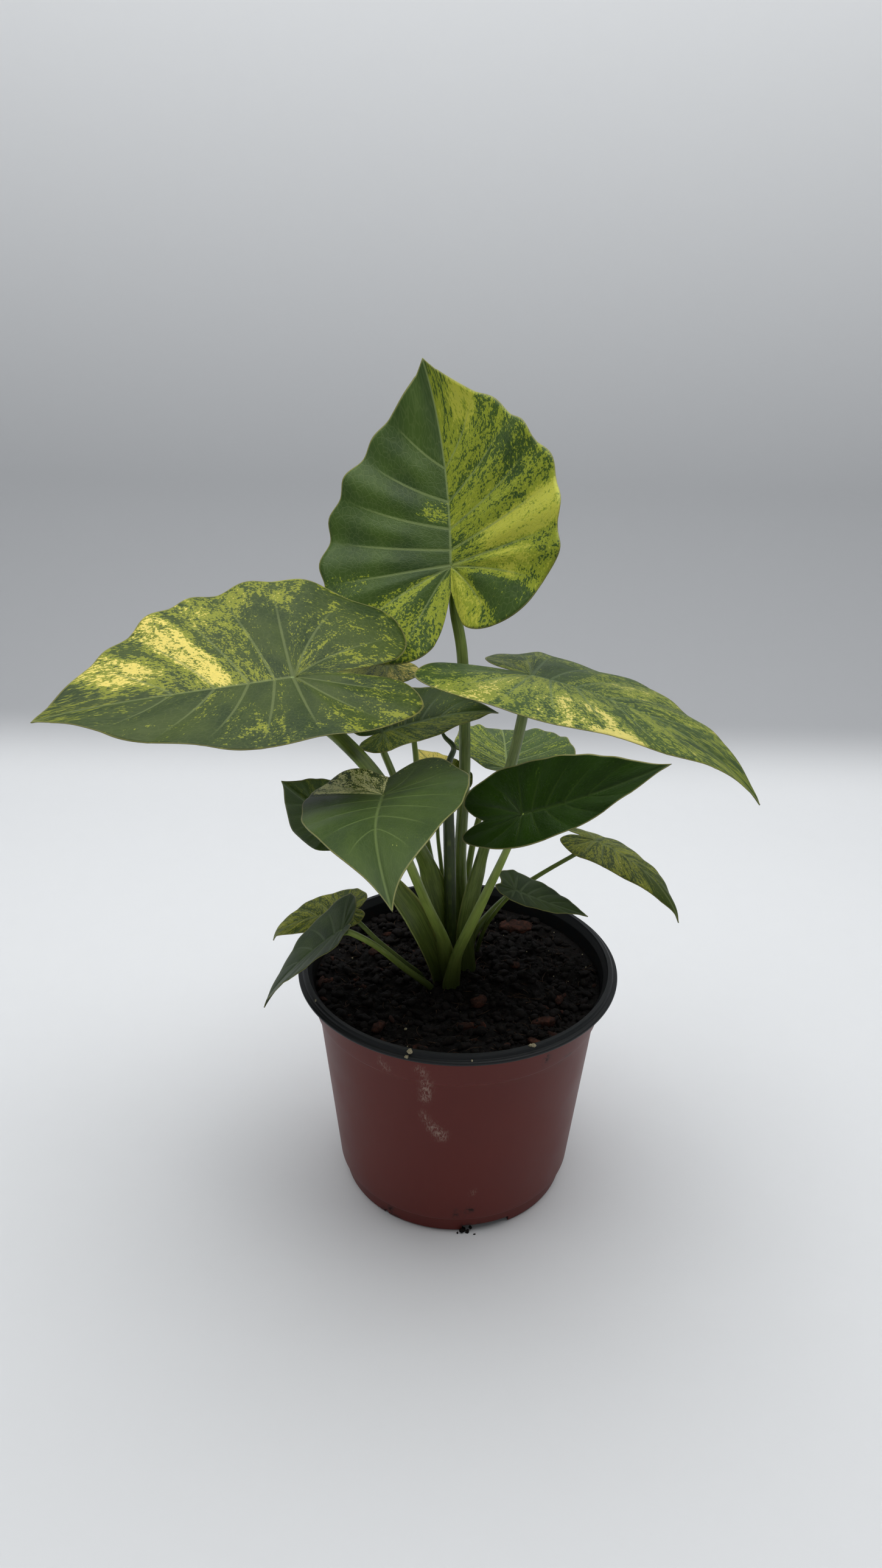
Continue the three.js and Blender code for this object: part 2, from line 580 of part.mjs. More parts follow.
function chip(i, grow = 0) {
  const [azimuth, share, turn, length, width, thick, tilt] = CHIPS[i];
  const x = share * SOIL_RADIUS * Math.cos(azimuth * DEG);
  const y = share * SOIL_RADIUS * Math.sin(azimuth * DEG);
  const g = new THREE.BoxGeometry(length + 2 * grow, width + 2 * grow, thick + 2 * grow, 4, 2, 1);
  const place = g.attributes.position;
  for (let k = 0; k < place.count; k += 1) {
    const [u, v, w] = [place.getX(k), place.getY(k), place.getZ(k)];
    const ends = 1 - 0.35 * (Math.abs(u) / length) * (1 + Math.sin(i + 3 * Math.sign(v)));
    place.setXYZ(k, u + 0.4 * Math.sin(v * 2 + i), v * ends, w + 0.5 * Math.sin(u * 0.6 + i) * (thick / 3));
  }
  g.rotateY(tilt * DEG);
  g.rotateZ(turn * DEG);
  g.translate(x, y, soilHeight(x, y) + 0.3 * thick);
  return solid(g);
}

function corm(grow = 0) {
  const g = lathe([
    [0, -26 - grow], [5 + grow, -25 - grow], [9 + grow, -20], [9.5 + grow, -14], [8 + grow, -9.4 + grow],
    [0, -9.4 + grow],
  ], 20);
  g.translate(-1, 5, SOIL_LEVEL);
  return solid(g);
}

// ---- assembly -----------------------------------------------------------------------------
const plant = new THREE.Group();
plant.name = 'potted_alocasia';

// A leaf with its places in the pot's frame.
function placeLeaf(leaf) {
  const put = ([x, y, z, ...rest]) => {
    const spread = leaf.low ? 1 + (LOW_SPREAD - 1) * clamp(z / leaf.at[2], 0, 1) : 1;
    return [x * spread, y * spread, z + SOIL_LEVEL, ...rest];
  };
  return { ...leaf, at: put(leaf.at), stem: leaf.stem.map(put) };
}

function add(name, body, tone) {
  const [colour, roughness] = TONES[tone];
  const material = new THREE.MeshStandardMaterial({ color: colour, roughness, metalness: 0 });
  material.name = tone;
  const mesh = new THREE.Mesh(toGeometry(body), material);
  mesh.name = name;
  plant.add(mesh);
}

const pot = potBody();
let ground = soilBlock();
const placed = [];

add('pot', pot, 'terracotta');

const spear = placeLeaf({ at: [0, 0, 0], stem: SPEAR }).stem;
const spearOut = new THREE.Vector3(-1, 0, 0);
add('spear', loft(spear, spearOut), 'stem');
placed.push(loft(spear, spearOut, FIT));
ground = ground.subtract(placed[0]);

for (const plan of LEAVES) {
  const leaf = placeLeaf(plan);
  const route = petioleRoute(leaf);
  const outward = outwardOf(leaf);
  let stem = loft(route, outward);
  for (const other of placed) stem = stem.subtract(other);
  stem = largest(stem.subtract(blade(leaf, FIT)));
  add(`blade_${leaf.name}`, blade(leaf), leaf.tone);
  add(`petiole_${leaf.name}`, stem, 'stem');
  placed.push(loft(route, outward, FIT));
  ground = ground.subtract(loft(route.map((row) => [...row.slice(0, 5), 0]), outward, FIT));
}

add('corm', corm(), 'corm');
ground = ground.subtract(corm(FIT));
for (let i = 0; i < CHIPS.length; i += 1) {
  add(`bark_chip_${i + 1}`, chip(i), 'bark');
  ground = ground.subtract(chip(i, FIT));
}
add('soil', largest(ground), 'soil');

export default plant;
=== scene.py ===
"""The looks of a potted alocasia: marbled leaves, sheathed petioles, peaty soil and its pot.

Sizes are in millimetres until a mesh is made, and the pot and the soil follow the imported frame.
"""

import logging
import math
from dataclasses import dataclass, field
from enum import Enum

import bpy
import numpy as np
from mathutils import Matrix, Vector, noise


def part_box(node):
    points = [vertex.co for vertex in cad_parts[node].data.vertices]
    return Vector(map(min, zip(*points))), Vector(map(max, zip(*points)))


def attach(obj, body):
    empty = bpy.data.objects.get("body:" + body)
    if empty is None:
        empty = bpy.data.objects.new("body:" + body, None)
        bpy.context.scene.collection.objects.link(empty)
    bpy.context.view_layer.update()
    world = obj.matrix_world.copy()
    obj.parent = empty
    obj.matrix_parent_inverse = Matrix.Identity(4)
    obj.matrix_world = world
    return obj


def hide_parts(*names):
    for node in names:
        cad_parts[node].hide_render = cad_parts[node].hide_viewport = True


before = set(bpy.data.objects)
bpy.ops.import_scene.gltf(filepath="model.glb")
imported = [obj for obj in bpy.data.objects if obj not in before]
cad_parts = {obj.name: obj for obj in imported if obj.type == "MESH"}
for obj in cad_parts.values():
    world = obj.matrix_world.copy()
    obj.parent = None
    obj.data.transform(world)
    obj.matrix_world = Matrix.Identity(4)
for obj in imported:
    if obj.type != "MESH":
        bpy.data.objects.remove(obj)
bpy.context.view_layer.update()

MM = 0.001
DEG = math.pi / 180
# The largest turn that a loose lump or fibre is given, in radians.
FULL_TURN = 6.28
# From the rim down to the soil.
SOIL_DROP = 10.0
# Radius at which the pot's marks are laid out.
MARK_RADIUS = 65.0
BODY = "root"
LOG = logging.getLogger("potted_alocasia")


# ---- numbers and small shapes ---------------------------------------------------------------

def node_box(node: str) -> tuple[np.ndarray, np.ndarray]:
    """Give a frame node's corners in millimetres.

    Args:
        node: Name of the node.

    Returns:
        The lowest and the highest corner.
    """
    low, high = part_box(node)
    return np.array(low) / MM, np.array(high) / MM


def smooth(value: np.ndarray, low: float, high: float) -> np.ndarray:
    """Rise smoothly from 0 at `low` to 1 at `high`.

    Args:
        value: Numbers to map.
        low: Where the rise starts.
        high: Where it ends.

    Returns:
        The mapped numbers.
    """
    share = np.clip((value - low) / (high - low), 0, 1)
    return share * share * (3 - 2 * share)


def between(value: np.ndarray, low: float, high: float, soft: float) -> np.ndarray:
    """Mark the numbers that lie between two limits, with soft ends.

    Args:
        value: Numbers to test.
        low: Lower limit.
        high: Upper limit.
        soft: Width of each soft end.

    Returns:
        1 inside the limits, 0 outside.
    """
    return smooth(value, low - soft, low + soft) * (1 - smooth(value, high - soft, high + soft))


def catmull(rows: np.ndarray, places: np.ndarray) -> np.ndarray:
    """Run a smooth curve through rows of numbers.

    Args:
        rows: One row per knot.
        places: Where to read the curve, counted in knots.

    Returns:
        One row per place.
    """
    last = len(rows) - 1
    first = np.clip(np.floor(places).astype(int), 0, last - 1)
    f = (places - first)[:, None]
    p0, p1 = rows[np.maximum(first - 1, 0)], rows[first]
    p2, p3 = rows[first + 1], rows[np.minimum(first + 2, last)]
    return 0.5 * (2 * p1 + (p2 - p0) * f + (2 * p0 - 5 * p1 + 4 * p2 - p3) * f ** 2
                  + (3 * p1 - p0 - 3 * p2 + p3) * f ** 3)


def rough(points: np.ndarray, scale: float, octaves: int = 3) -> np.ndarray:
    """Read fractal noise at some points.

    Args:
        points: Places in millimetres.
        scale: Size of the largest lumps.
        octaves: How many finer layers are added.

    Returns:
        One number per point, mostly between -1 and 1.
    """
    return np.array([noise.fractal(Vector(p) / scale, 0.9, 2.0, octaves) for p in points.tolist()])


def linear(tint: str) -> tuple[float, float, float, float]:
    """Turn a screen colour such as 7a3a34 into linear light.

    Args:
        tint: Six hexadecimal digits.

    Returns:
        Red, green, blue and an alpha of 1.
    """
    parts = [int(tint[i:i + 2], 16) / 255 for i in (0, 2, 4)]
    light = [v / 12.92 if v <= 0.04045 else ((v + 0.055) / 1.055) ** 2.4 for v in parts]
    return (*light, 1.0)


@dataclass
class Skin:
    """A mesh in the making: points in millimetres, faces and the numbers that its finish reads."""

    points: np.ndarray
    faces: list[tuple[int, ...]]
    corners: dict[str, np.ndarray] = field(default_factory=dict)
    marks: dict[str, np.ndarray] = field(default_factory=dict)

    def build(self, name: str, materials: list[bpy.types.Material]) -> bpy.types.Object:
        """Make the Blender object and let it ride on the plant's body.

        Args:
            name: Name of the piece.
            materials: Its materials, in slot order.

        Returns:
            The new object.
        """
        mesh = bpy.data.meshes.new(name)
        mesh.from_pydata((self.points * MM).tolist(), [], self.faces)
        for domain, store in (("CORNER", self.corners), ("POINT", self.marks)):
            for label, values in store.items():
                layer = mesh.attributes.new(label, "FLOAT_VECTOR", domain)
                layer.data.foreach_set("vector", np.asarray(values, np.float32).ravel())
        mesh.shade_smooth()
        for material in materials:
            mesh.materials.append(material)
        piece = bpy.data.objects.new(name, mesh)
        bpy.context.scene.collection.objects.link(piece)
        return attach(piece, BODY)

    def normals(self) -> np.ndarray:
        """Give each point the mean direction of the faces round it.

        Returns:
            One unit vector per point.
        """
        total = np.zeros_like(self.points)
        fans = np.array([(f[0], f[i], f[i + 1]) for f in self.faces for i in range(1, len(f) - 1)])
        a, b, c = (self.points[fans[:, k]] for k in range(3))
        way = np.cross(b - a, c - a)
        for k in range(3):
            np.add.at(total, fans[:, k], way)
        return total / np.maximum(np.linalg.norm(total, axis=1, keepdims=True), 1e-9)


def lofted(rings: np.ndarray) -> tuple[np.ndarray, list[tuple[int, ...]]]:
    """Join closed rings of points into a closed tube.

    Args:
        rings: Array of rings, of points, of coordinates.

    Returns:
        The points and the faces, with a fan at each end.
    """
    count, sides = rings.shape[:2]
    ends = np.array([rings[0].mean(0), rings[-1].mean(0)])
    faces = []
    for i in range(count - 1):
        for j in range(sides):
            a, b = i * sides + j, i * sides + (j + 1) % sides
            faces.append((a, b, b + sides, a + sides))
    start, end, top = count * sides, count * sides + 1, (count - 1) * sides
    for j in range(sides):
        k = (j + 1) % sides
        faces.append((start, k, j))
        faces.append((end, top + j, top + k))
    return np.vstack([rings.reshape(-1, 3), ends]), faces


# ---- finishes -------------------------------------------------------------------------------

class Graph:
    """Short calls that build one material's nodes."""

    def __init__(self, name: str) -> None:
        """Start an empty material.

        Args:
            name: Name of the material.
        """
        self.material = bpy.data.materials.new(name)
        self.material.use_nodes = True
        self.tree = self.material.node_tree
        self.tree.nodes.clear()

    def node(self, kind: str, **settings: object) -> bpy.types.Node:
        """Add a node and set its properties.

        Args:
            kind: Node type without its prefix.
            **settings: Properties to set.

        Returns:
            The node.
        """
        made = self.tree.nodes.new("ShaderNode" + kind)
        for label, value in settings.items():
            setattr(made, label, value)
        return made

    def feed(self, socket: bpy.types.NodeSocket, value: object) -> None:
        """Link a socket to another one, or set its number or colour.

        Args:
            socket: Input to fill.
            value: An output socket or a constant.
        """
        if isinstance(value, bpy.types.NodeSocket):
            self.tree.links.new(value, socket)
        else:
            socket.default_value = value

    def attribute(self, label: str) -> tuple[bpy.types.NodeSocket, ...]:
        """Read a mesh attribute as three numbers.

        Args:
            label: Name of the attribute.

        Returns:
            The three number sockets and then the vector socket.
        """
        vector = self.node("Attribute", attribute_name=label).outputs["Vector"]
        return (*self.split(vector), vector)

    def split(self, vector: bpy.types.NodeSocket) -> tuple[bpy.types.NodeSocket, ...]:
        """Take a vector apart.

        Args:
            vector: Vector socket.

        Returns:
            Its three number sockets.
        """
        made = self.node("SeparateXYZ")
        self.feed(made.inputs[0], vector)
        return tuple(made.outputs)

    def place(self) -> bpy.types.NodeSocket:
        """Read the place on the object, in metres."""
        return self.node("TexCoord").outputs["Object"]

    def stretch(self, vector: bpy.types.NodeSocket, scale: tuple[float, float, float]
                ) -> bpy.types.NodeSocket:
        """Scale a vector.

        Args:
            vector: Vector socket.
            scale: Factor on each axis.

        Returns:
            The scaled vector.
        """
        made = self.node("VectorMath", operation="MULTIPLY")
        self.feed(made.inputs[0], vector)
        made.inputs[1].default_value = scale
        return made.outputs[0]

    def grain(self, vector: bpy.types.NodeSocket, scale: float, detail: float = 2.0,
              roughness: float = 0.5, bend: float = 0.0) -> bpy.types.NodeSocket:
        """Add a noise pattern.

        Args:
            vector: Where to read it.
            scale: How many lumps in each unit.
            detail: Finer layers.
            roughness: Weight of the finer layers.
            bend: Distortion.

        Returns:
            A number between 0 and 1.
        """
        made = self.node("TexNoise")
        self.feed(made.inputs["Vector"], vector)
        made.inputs["Scale"].default_value = scale
        made.inputs["Detail"].default_value = detail
        made.inputs["Roughness"].default_value = roughness
        made.inputs["Distortion"].default_value = bend
        return made.outputs["Fac"]

    def sum(self, operation: str, first: object, second: object = 0.0, third: object = 0.0
            ) -> bpy.types.NodeSocket:
        """Do arithmetic on numbers.

        Args:
            operation: Name of the operation.
            first: First number or socket.
            second: Second number or socket.
            third: Third number or socket.

        Returns:
            The result.
        """
        made = self.node("Math", operation=operation)
        for socket, value in zip(made.inputs, (first, second, third)):
            self.feed(socket, value)
        return made.outputs[0]

    def less(self, value: object) -> bpy.types.NodeSocket:
        """Give 1 minus a number."""
        return self.sum("SUBTRACT", 1.0, value)

    def times(self, first: object, second: object) -> bpy.types.NodeSocket:
        """Multiply two numbers."""
        return self.sum("MULTIPLY", first, second)

    def step(self, value: object, low: object, high: object) -> bpy.types.NodeSocket:
        """Rise smoothly from 0 at `low` to 1 at `high`.

        Args:
            value: Number to map.
            low: Where the rise starts.
            high: Where it ends.

        Returns:
            The mapped number.
        """
        made = self.node("MapRange", interpolation_type="SMOOTHSTEP")
        for label, number in (("Value", value), ("From Min", low), ("From Max", high)):
            self.feed(made.inputs[label], number)
        return made.outputs[0]

    def blend(self, share: object, first: object, second: object) -> bpy.types.NodeSocket:
        """Mix two colours.

        Args:
            share: 0 gives the first colour and 1 the second.
            first: Colour or socket.
            second: Colour or socket.

        Returns:
            The mixed colour.
        """
        made = self.node("Mix", data_type="RGBA")
        self.feed(made.inputs["Factor"], share)
        self.feed(made.inputs[6], linear(first) if isinstance(first, str) else first)
        self.feed(made.inputs[7], linear(second) if isinstance(second, str) else second)
        return made.outputs[2]

    def relief(self, height: object, depth: float, strength: float = 1.0) -> bpy.types.NodeSocket:
        """Turn a height into a bump.

        Args:
            height: Height socket.
            depth: Height of 1, in metres.
            strength: Strength of the bump.

        Returns:
            The normal.
        """
        made = self.node("Bump")
        self.feed(made.inputs["Height"], height)
        made.inputs["Distance"].default_value = depth
        made.inputs["Strength"].default_value = strength
        return made.outputs[0]

    def surface(self, colour: object, roughness: object, normal: object = None,
                **constants: float) -> bpy.types.Node:
        """Add the main shader.

        Args:
            colour: Base colour.
            roughness: Roughness number or socket.
            normal: Bump normal, if any.
            **constants: Other inputs, with underscores for spaces.

        Returns:
            The shader node.
        """
        made = self.node("BsdfPrincipled")
        self.feed(made.inputs["Base Color"], colour)
        self.feed(made.inputs["Roughness"], roughness)
        if normal is not None:
            self.feed(made.inputs["Normal"], normal)
        for label, value in constants.items():
            made.inputs[label.replace("_", " ")].default_value = value
        return made

    def either(self, share: object, first: bpy.types.Node, second: bpy.types.Node
               ) -> bpy.types.NodeSocket:
        """Mix two shaders.

        Args:
            share: 0 gives the first shader and 1 the second.
            first: First shader node.
            second: Second shader node.

        Returns:
            The mixed shader.
        """
        made = self.node("MixShader")
        for socket, value in zip(made.inputs, (share, first.outputs[0], second.outputs[0])):
            self.feed(socket, value)
        return made.outputs[0]

    def finish(self, shader: bpy.types.NodeSocket) -> bpy.types.Material:
        """Close the material with its output.

        Args:
            shader: Shader socket.

        Returns:
            The material.
        """
        self.feed(self.node("OutputMaterial").inputs["Surface"], shader)
        return self.material


# The flecks' three layers, broad to fine: stretch, detail, roughness, bend and weight.
FLECK_LAYERS = (
    ((0.10, 0.032, 1), 3, 0.6, 0.8, 1.5), ((0.42, 0.15, 2), 3, 0.65, 0.4, 2.0),
    ((1.3, 0.8, 3), 2, 0.7, 0.0, 2.3),
)


@dataclass(frozen=True)
class LeafFinish:
    """Leaf skin with four tones of marbling, pale veins and a thin pale margin."""

    deep: str
    mid: str
    lime: str
    cream: str
    vein: str
    gloss: float = 0.42
    through: float = 0.22

    def marbling(self, g: Graph) -> bpy.types.NodeSocket:
        """Spread the four tones in patches drawn out along the veins.

        Args:
            g: Graph that is being built.

        Returns:
            The colour.
        """
        grain = g.attribute("grain")[3]
        bias, vigour, _, _ = g.attribute("tone")
        mark = bias
        for scale, detail, roughness, bend, weight in FLECK_LAYERS:
            layer = g.grain(g.stretch(grain, scale), 1, detail, roughness, bend)
            mark = g.sum("MULTIPLY_ADD", g.sum("SUBTRACT", layer, 0.5), weight, mark)
        cloud = g.grain(g.stretch(grain, (0.06, 0.04, 5)), 1, 2)
        base = g.blend(g.step(cloud, 0.3, 0.7), self.deep, self.mid)
        colour = g.blend(g.step(mark, -0.34, -0.2), base, self.mid)
        colour = g.blend(g.step(mark, -0.02, 0.08), colour, self.lime)
        bright = g.sum("SUBTRACT", 0.62, g.times(vigour, 0.4))
        return g.blend(g.step(mark, bright, g.sum("ADD", bright, 0.08)), colour, self.cream)

    def material(self, name: str) -> bpy.types.Material:
        """Make the leaf material.

        Args:
            name: Name of the material.

        Returns:
            The material.
        """
        g = Graph(name)
        grain = g.attribute("grain")[3]
        margin, midrib, vein, _ = g.attribute("place")
        number, reach, under, _ = g.attribute("vein")
        colour = self.marbling(g)
        width = g.sum("MULTIPLY_ADD", reach, -0.32, 0.42)
        lines = g.less(g.step(vein, width, g.sum("ADD", width, 0.45)))
        lines = g.times(lines, g.less(g.step(reach, 0.45, 0.97)))
        wide = g.sum("MULTIPLY_ADD", number, 0.065, 0.2)
        rib = g.less(g.step(midrib, wide, g.sum("ADD", wide, 0.5)))
        lines = g.sum("MAXIMUM", g.times(lines, 0.52), g.times(rib, 0.65))
        colour = g.blend(lines, colour, self.vein)
        cells = g.node("TexVoronoi", feature="DISTANCE_TO_EDGE")
        g.feed(cells.inputs["Vector"], g.stretch(grain, (0.55, 0.4, 1)))
        cells.inputs["Scale"].default_value = 1.0
        mesh_lines = g.less(g.step(cells.outputs["Distance"], 0.0, 0.12))
        colour = g.blend(g.times(mesh_lines, 0.10), colour, self.vein)
        rim = g.less(g.step(margin, 0.25, 0.7))
        colour = g.blend(g.times(rim, 0.6), colour, "a7a468")
        colour = g.blend(g.times(under, 0.45), colour, self.mid)
        speck = g.grain(g.stretch(grain, (1, 1, 1)), 3.5, 2)
        dust = g.grain(g.stretch(grain, (1, 1, 1)), 0.16, 3)
        shine = g.sum("MULTIPLY_ADD", dust, 0.22, self.gloss - 0.11)
        height = g.sum("MULTIPLY_ADD", mesh_lines, -0.6, speck)
        normal = g.relief(height, 0.00012, 0.5)
        skin = g.surface(colour, shine, normal, Specular_IOR_Level=0.22)
        glow = g.node("BsdfTranslucent")
        lit = g.node("HueSaturation")
        lit.inputs["Saturation"].default_value = 1.25
        lit.inputs["Value"].default_value = 1.5
        g.feed(lit.inputs["Color"], colour)
        g.feed(glow.inputs["Color"], lit.outputs[0])
        return g.finish(g.either(self.through, skin, glow))


@dataclass(frozen=True)
class StemFinish:
    """Petiole skin: long streaks, a paler sheath edge and painted shade that darkens the foot."""

    deep: str
    pale: str
    edge: str
    gloss: float = 0.4

    def material(self, name: str) -> bpy.types.Material:
        """Make the petiole material.

        Args:
            name: Name of the material.

        Returns:
            The material.
        """
        g = Graph(name)
        height, _, edge, route = g.attribute("stem")
        fresh = g.attribute("tone")[0]
        streak = g.grain(g.stretch(route, (0.05, 1.6, 1)), 1, 3, 0.6)
        fine = g.grain(g.stretch(route, (0.18, 5.0, 2)), 1, 2)
        blotch = g.grain(g.stretch(route, (0.05, 0.25, 3)), 1, 2)
        share = g.sum("ADD", g.step(streak, 0.3, 0.7), g.times(g.step(blotch, 0.45, 0.7), 0.5))
        share = g.sum("MULTIPLY_ADD", fresh, 0.7, g.times(share, 0.5))
        colour = g.blend(share, self.deep, self.pale)
        colour = g.blend(g.times(g.step(fine, 0.5, 0.75), 0.25), colour, self.edge)
        colour = g.blend(g.times(g.step(edge, 0.55, 0.95), 0.8), colour, self.edge)
        # Painted shade: each stalk is darkened towards 1a240a over its first 55 mm from the root,
        # standing in for the shade near the soil.
        foot = g.less(g.step(height, 6.0, 55.0))
        colour = g.blend(g.times(foot, 0.85), colour, "1a240a")
        normal = g.relief(g.sum("ADD", streak, g.times(fine, 0.5)), 0.0002, 0.5)
        shine = g.sum("MULTIPLY_ADD", blotch, 0.2, self.gloss - 0.1)
        return g.finish(g.surface(colour, shine, normal, Subsurface_Weight=0.08,
                                  Subsurface_Scale=0.002).outputs[0])


@dataclass(frozen=True)
class PlasticFinish:
    """Thin moulded pot plastic with flow lines, dust and whitish scuffs."""

    base: str
    worn: str
    gloss: float

    def material(self, name: str) -> bpy.types.Material:
        """Make the plastic.

        Args:
            name: Name of the material.

        Returns:
            The material.
        """
        g = Graph(name)
        place = g.place()
        scuff, soot, crumbly, _ = g.attribute("wear")
        cloud = g.grain(place, 38, 3)
        flow = g.grain(g.stretch(place, (1, 1, 0.06)), 420, 2)
        fleck = g.grain(g.stretch(place, (1, 1, 0.35)), 1500, 3, 0.7)
        grit = g.grain(place, 900, 2, 0.7)
        colour = g.blend(g.times(cloud, 0.5), self.base, self.worn)
        colour = g.blend(g.times(g.step(flow, 0.55, 0.8), 0.12), colour, self.worn)
        chalk = g.times(g.step(fleck, 0.42, 0.62), scuff)
        colour = g.blend(g.times(chalk, 0.75), colour, "a99284")
        dusty = g.step(grit, 0.66, 0.74)
        colour = g.blend(g.times(dusty, 0.35), colour, self.worn)
        dirt = g.times(g.step(g.grain(place, 420, 3, 0.65), 0.40, 0.56), soot)
        colour = g.blend(dirt, colour, "17100d")
        crumbs = g.times(g.step(g.grain(place, 260, 4, 0.7), 0.5, 0.62), crumbly)
        colour = g.blend(crumbs, colour, "2a201a")
        shine = g.sum("MULTIPLY_ADD", cloud, 0.18, self.gloss - 0.09)
        shine = g.sum("MAXIMUM", shine, g.times(g.sum("MAXIMUM", chalk, dirt), 0.85))
        height = g.sum("ADD", g.times(flow, 0.4), g.times(chalk, 0.8))
        normal = g.relief(height, 0.0001, 0.45)
        return g.finish(g.surface(colour, shine, normal, Specular_IOR_Level=0.24).outputs[0])


@dataclass(frozen=True)
class EarthFinish:
    """Soil, bark and other rough dull matter in three tones, with moist glints."""

    dark: str
    brown: str
    pale: str
    lump: float
    pale_from: float
    dry: float = 0.85
    wet: float = 0.4

    def material(self, name: str) -> bpy.types.Material:
        """Make the material.

        Args:
            name: Name of the material.

        Returns:
            The material.
        """
        g = Graph(name)
        place = g.place()
        broad = g.grain(place, 1 / self.lump, 4, 0.65, 0.5)
        fine = g.grain(place, 5 / self.lump, 3, 0.7)
        thread = g.grain(g.stretch(place, (1, 2.5, 1)), 9 / self.lump, 2, 0.6, 2.0)
        colour = g.blend(g.step(broad, 0.4, 0.75), self.dark, self.brown)
        colour = g.blend(g.times(g.step(fine, 0.5, 0.8), 0.6), colour, self.dark)
        colour = g.blend(g.step(thread, self.pale_from, self.pale_from + 0.06), colour, self.pale)
        damp = g.step(fine, 0.56, 0.7)
        shine = g.sum("MULTIPLY_ADD", damp, self.wet - self.dry, self.dry)
        normal = g.relief(g.sum("ADD", broad, g.times(fine, 0.6)), self.lump * 0.3, 0.8)
        return g.finish(g.surface(colour, shine, normal, Specular_IOR_Level=0.24).outputs[0])


@dataclass(frozen=True)
class PaperFinish:
    """Plain pale sweep with painted shade, a little darker where it turns up. Its back can be seen
    through.
    """

    pale: str
    # Grey of the painted shade on the wall, also used for the faint fibre mottle.
    painted_shade: str
    turn: float
    top: float

    def material(self, name: str) -> bpy.types.Material:
        """Make the sweep's material.

        Args:
            name: Name of the material.

        Returns:
            The material.
        """
        g = Graph(name)
        place = g.place()
        up = g.split(place)[2]
        # Painted shade: the sweep darkens from the floor to full at the turn's height, then fades
        # back to pale towards the top of the wall.
        rise = g.step(up, 0.0, self.turn)
        fade = g.step(up, self.turn, self.top)
        painted_shade = g.times(rise, g.sum("MULTIPLY_ADD", fade, -1.0, 1.0))
        fibre = g.grain(place, 60, 3)
        colour = g.blend(painted_shade, self.pale, self.painted_shade)
        # The same grey gives the paper's faint fibre mottle.
        colour = g.blend(g.times(fibre, 0.03), colour, self.painted_shade)
        normal = g.relief(g.grain(place, 900, 2), 0.0001, 0.1)
        paper = g.surface(colour, 0.75, normal, Specular_IOR_Level=0.25)
        behind = g.node("NewGeometry").outputs["Backfacing"]
        return g.finish(g.either(behind, paper, g.node("BsdfTransparent")))


class Finish(Enum):
    """Every finish on the plant."""

    LEAF_GREEN = LeafFinish("35491d", "435722", "9fa850", "f0edb4", "6c7e46")
    LEAF_DARK = LeafFinish("2d4219", "425720", "848f32", "d8cc70", "687a52")
    LEAF_GLOSSY = LeafFinish("1c3206", "253e09", "3c5512", "6f7c30", "374c1a", 0.3, 0.18)
    LEAF_LIME = LeafFinish("3a5027", "4a6227", "9eaa36", "c4c64c", "94a468")
    LEAF_CREAM = LeafFinish("2c3f18", "465621", "8f9630", "eedd74", "7c8852")
    STEM = StemFinish("465a16", "8a9e48", "b2bb70")
    SPEAR = StemFinish("20300e", "4d6222", "8d9a3c")
    POT_SKIN = PlasticFinish("5b1c15", "6d2b22", 0.42)
    POT_LINER = PlasticFinish("17191b", "26292b", 0.45)
    SOIL = EarthFinish("050302", "120a07", "3f2f25", 0.004, 0.74)
    CRUMB = EarthFinish("070403", "1a100b", "4d3a2c", 0.002, 0.74)
    BARK = EarthFinish("27130c", "542f21", "7d5641", 0.003, 0.68, 0.85, 0.6)
    GRIT = EarthFinish("8d8468", "c9bf9f", "e4dcc4", 0.0006, 0.6)
    FIBRE = EarthFinish("2b1d14", "5a4230", "a38f78", 0.001, 0.62)
    CORM = EarthFinish("3b2918", "5f4930", "8a7050", 0.003, 0.66)
    # The sweep's second grey is its painted shade.
    SWEEP = PaperFinish("dcdee0", "a6a8ab", 0.035, 0.72)

    def made(self) -> bpy.types.Material:
        """Give the material, which is made once."""
        name = "finish_" + self.name.lower()
        return bpy.data.materials.get(name) or self.value.material(name)


# ---- leaves ---------------------------------------------------------------------------------

class Side(Enum):
    """Half of a leaf, seen from above with its tip ahead."""

    LEFT = 1
    RIGHT = -1


@dataclass(frozen=True)
class Patch:
    """A stretch of one leaf half, between two veins, that is more or less marbled."""

    side: Side
    veins: tuple[float, float]
    reach: tuple[float, float]
    strength: float
    vigour: float = 0.0
    soft: float = 0.12


@dataclass(frozen=True)
class LeafPlan:
    """One leaf's shape, carriage and pattern."""

    name: str
    finish: Finish
    slot: str
    at: tuple[float, float, float]
    aim: tuple[float, float, float]
    size: tuple[float, float, float, float, float]
    curl: tuple[float, float, float, float]
    stem: tuple[tuple[float, ...], ...]
    cup: float = 0.0
    sweep: float = 0.0
    lobe: float = 1.0
    fine: bool = False
    marbled: tuple[float, float] = (-0.9, -0.9)
    patches: tuple[Patch, ...] = ()
    wave: float = 1.0
    fresh: float = 0.3
    face: float | None = None


# One row per rib from the tip to the notch: where it leaves the midrib, how far along it ends
# (in lengths, or in lobe lengths behind the petiole) and how far out, in half widths.
RIBS = np.array([
    [1.00, 1.00, 0.00], [0.68, 0.90, 0.13], [0.47, 0.77, 0.37], [0.31, 0.60, 0.64],
    [0.18, 0.42, 0.85], [0.08, 0.21, 0.97], [0.01, -0.05, 1.00], [0.00, -0.42, 0.93],
    [0.00, -0.82, 0.70], [0.00, -1.00, 0.40], [0.00, -0.80, 0.12], [0.00, 0.00, 0.00],
])
# The ribs that carry a side vein are at the whole numbers here.
VEIN_AT = ((0, 1, 2, 3, 4, 5, 6, 7.5, 9, 10, 11), (0, 0.5, 1, 2, 3, 4, 5, 6, 7, 7.5, 8))
LAST_VEIN = 8
KEEL_DEPTH = 1.3
HALF_BLADE = 0.22
# How far from the midrib the fold is rounded.
FOLD_ROUND = 1.5
SPEAR_TALL = 126.0

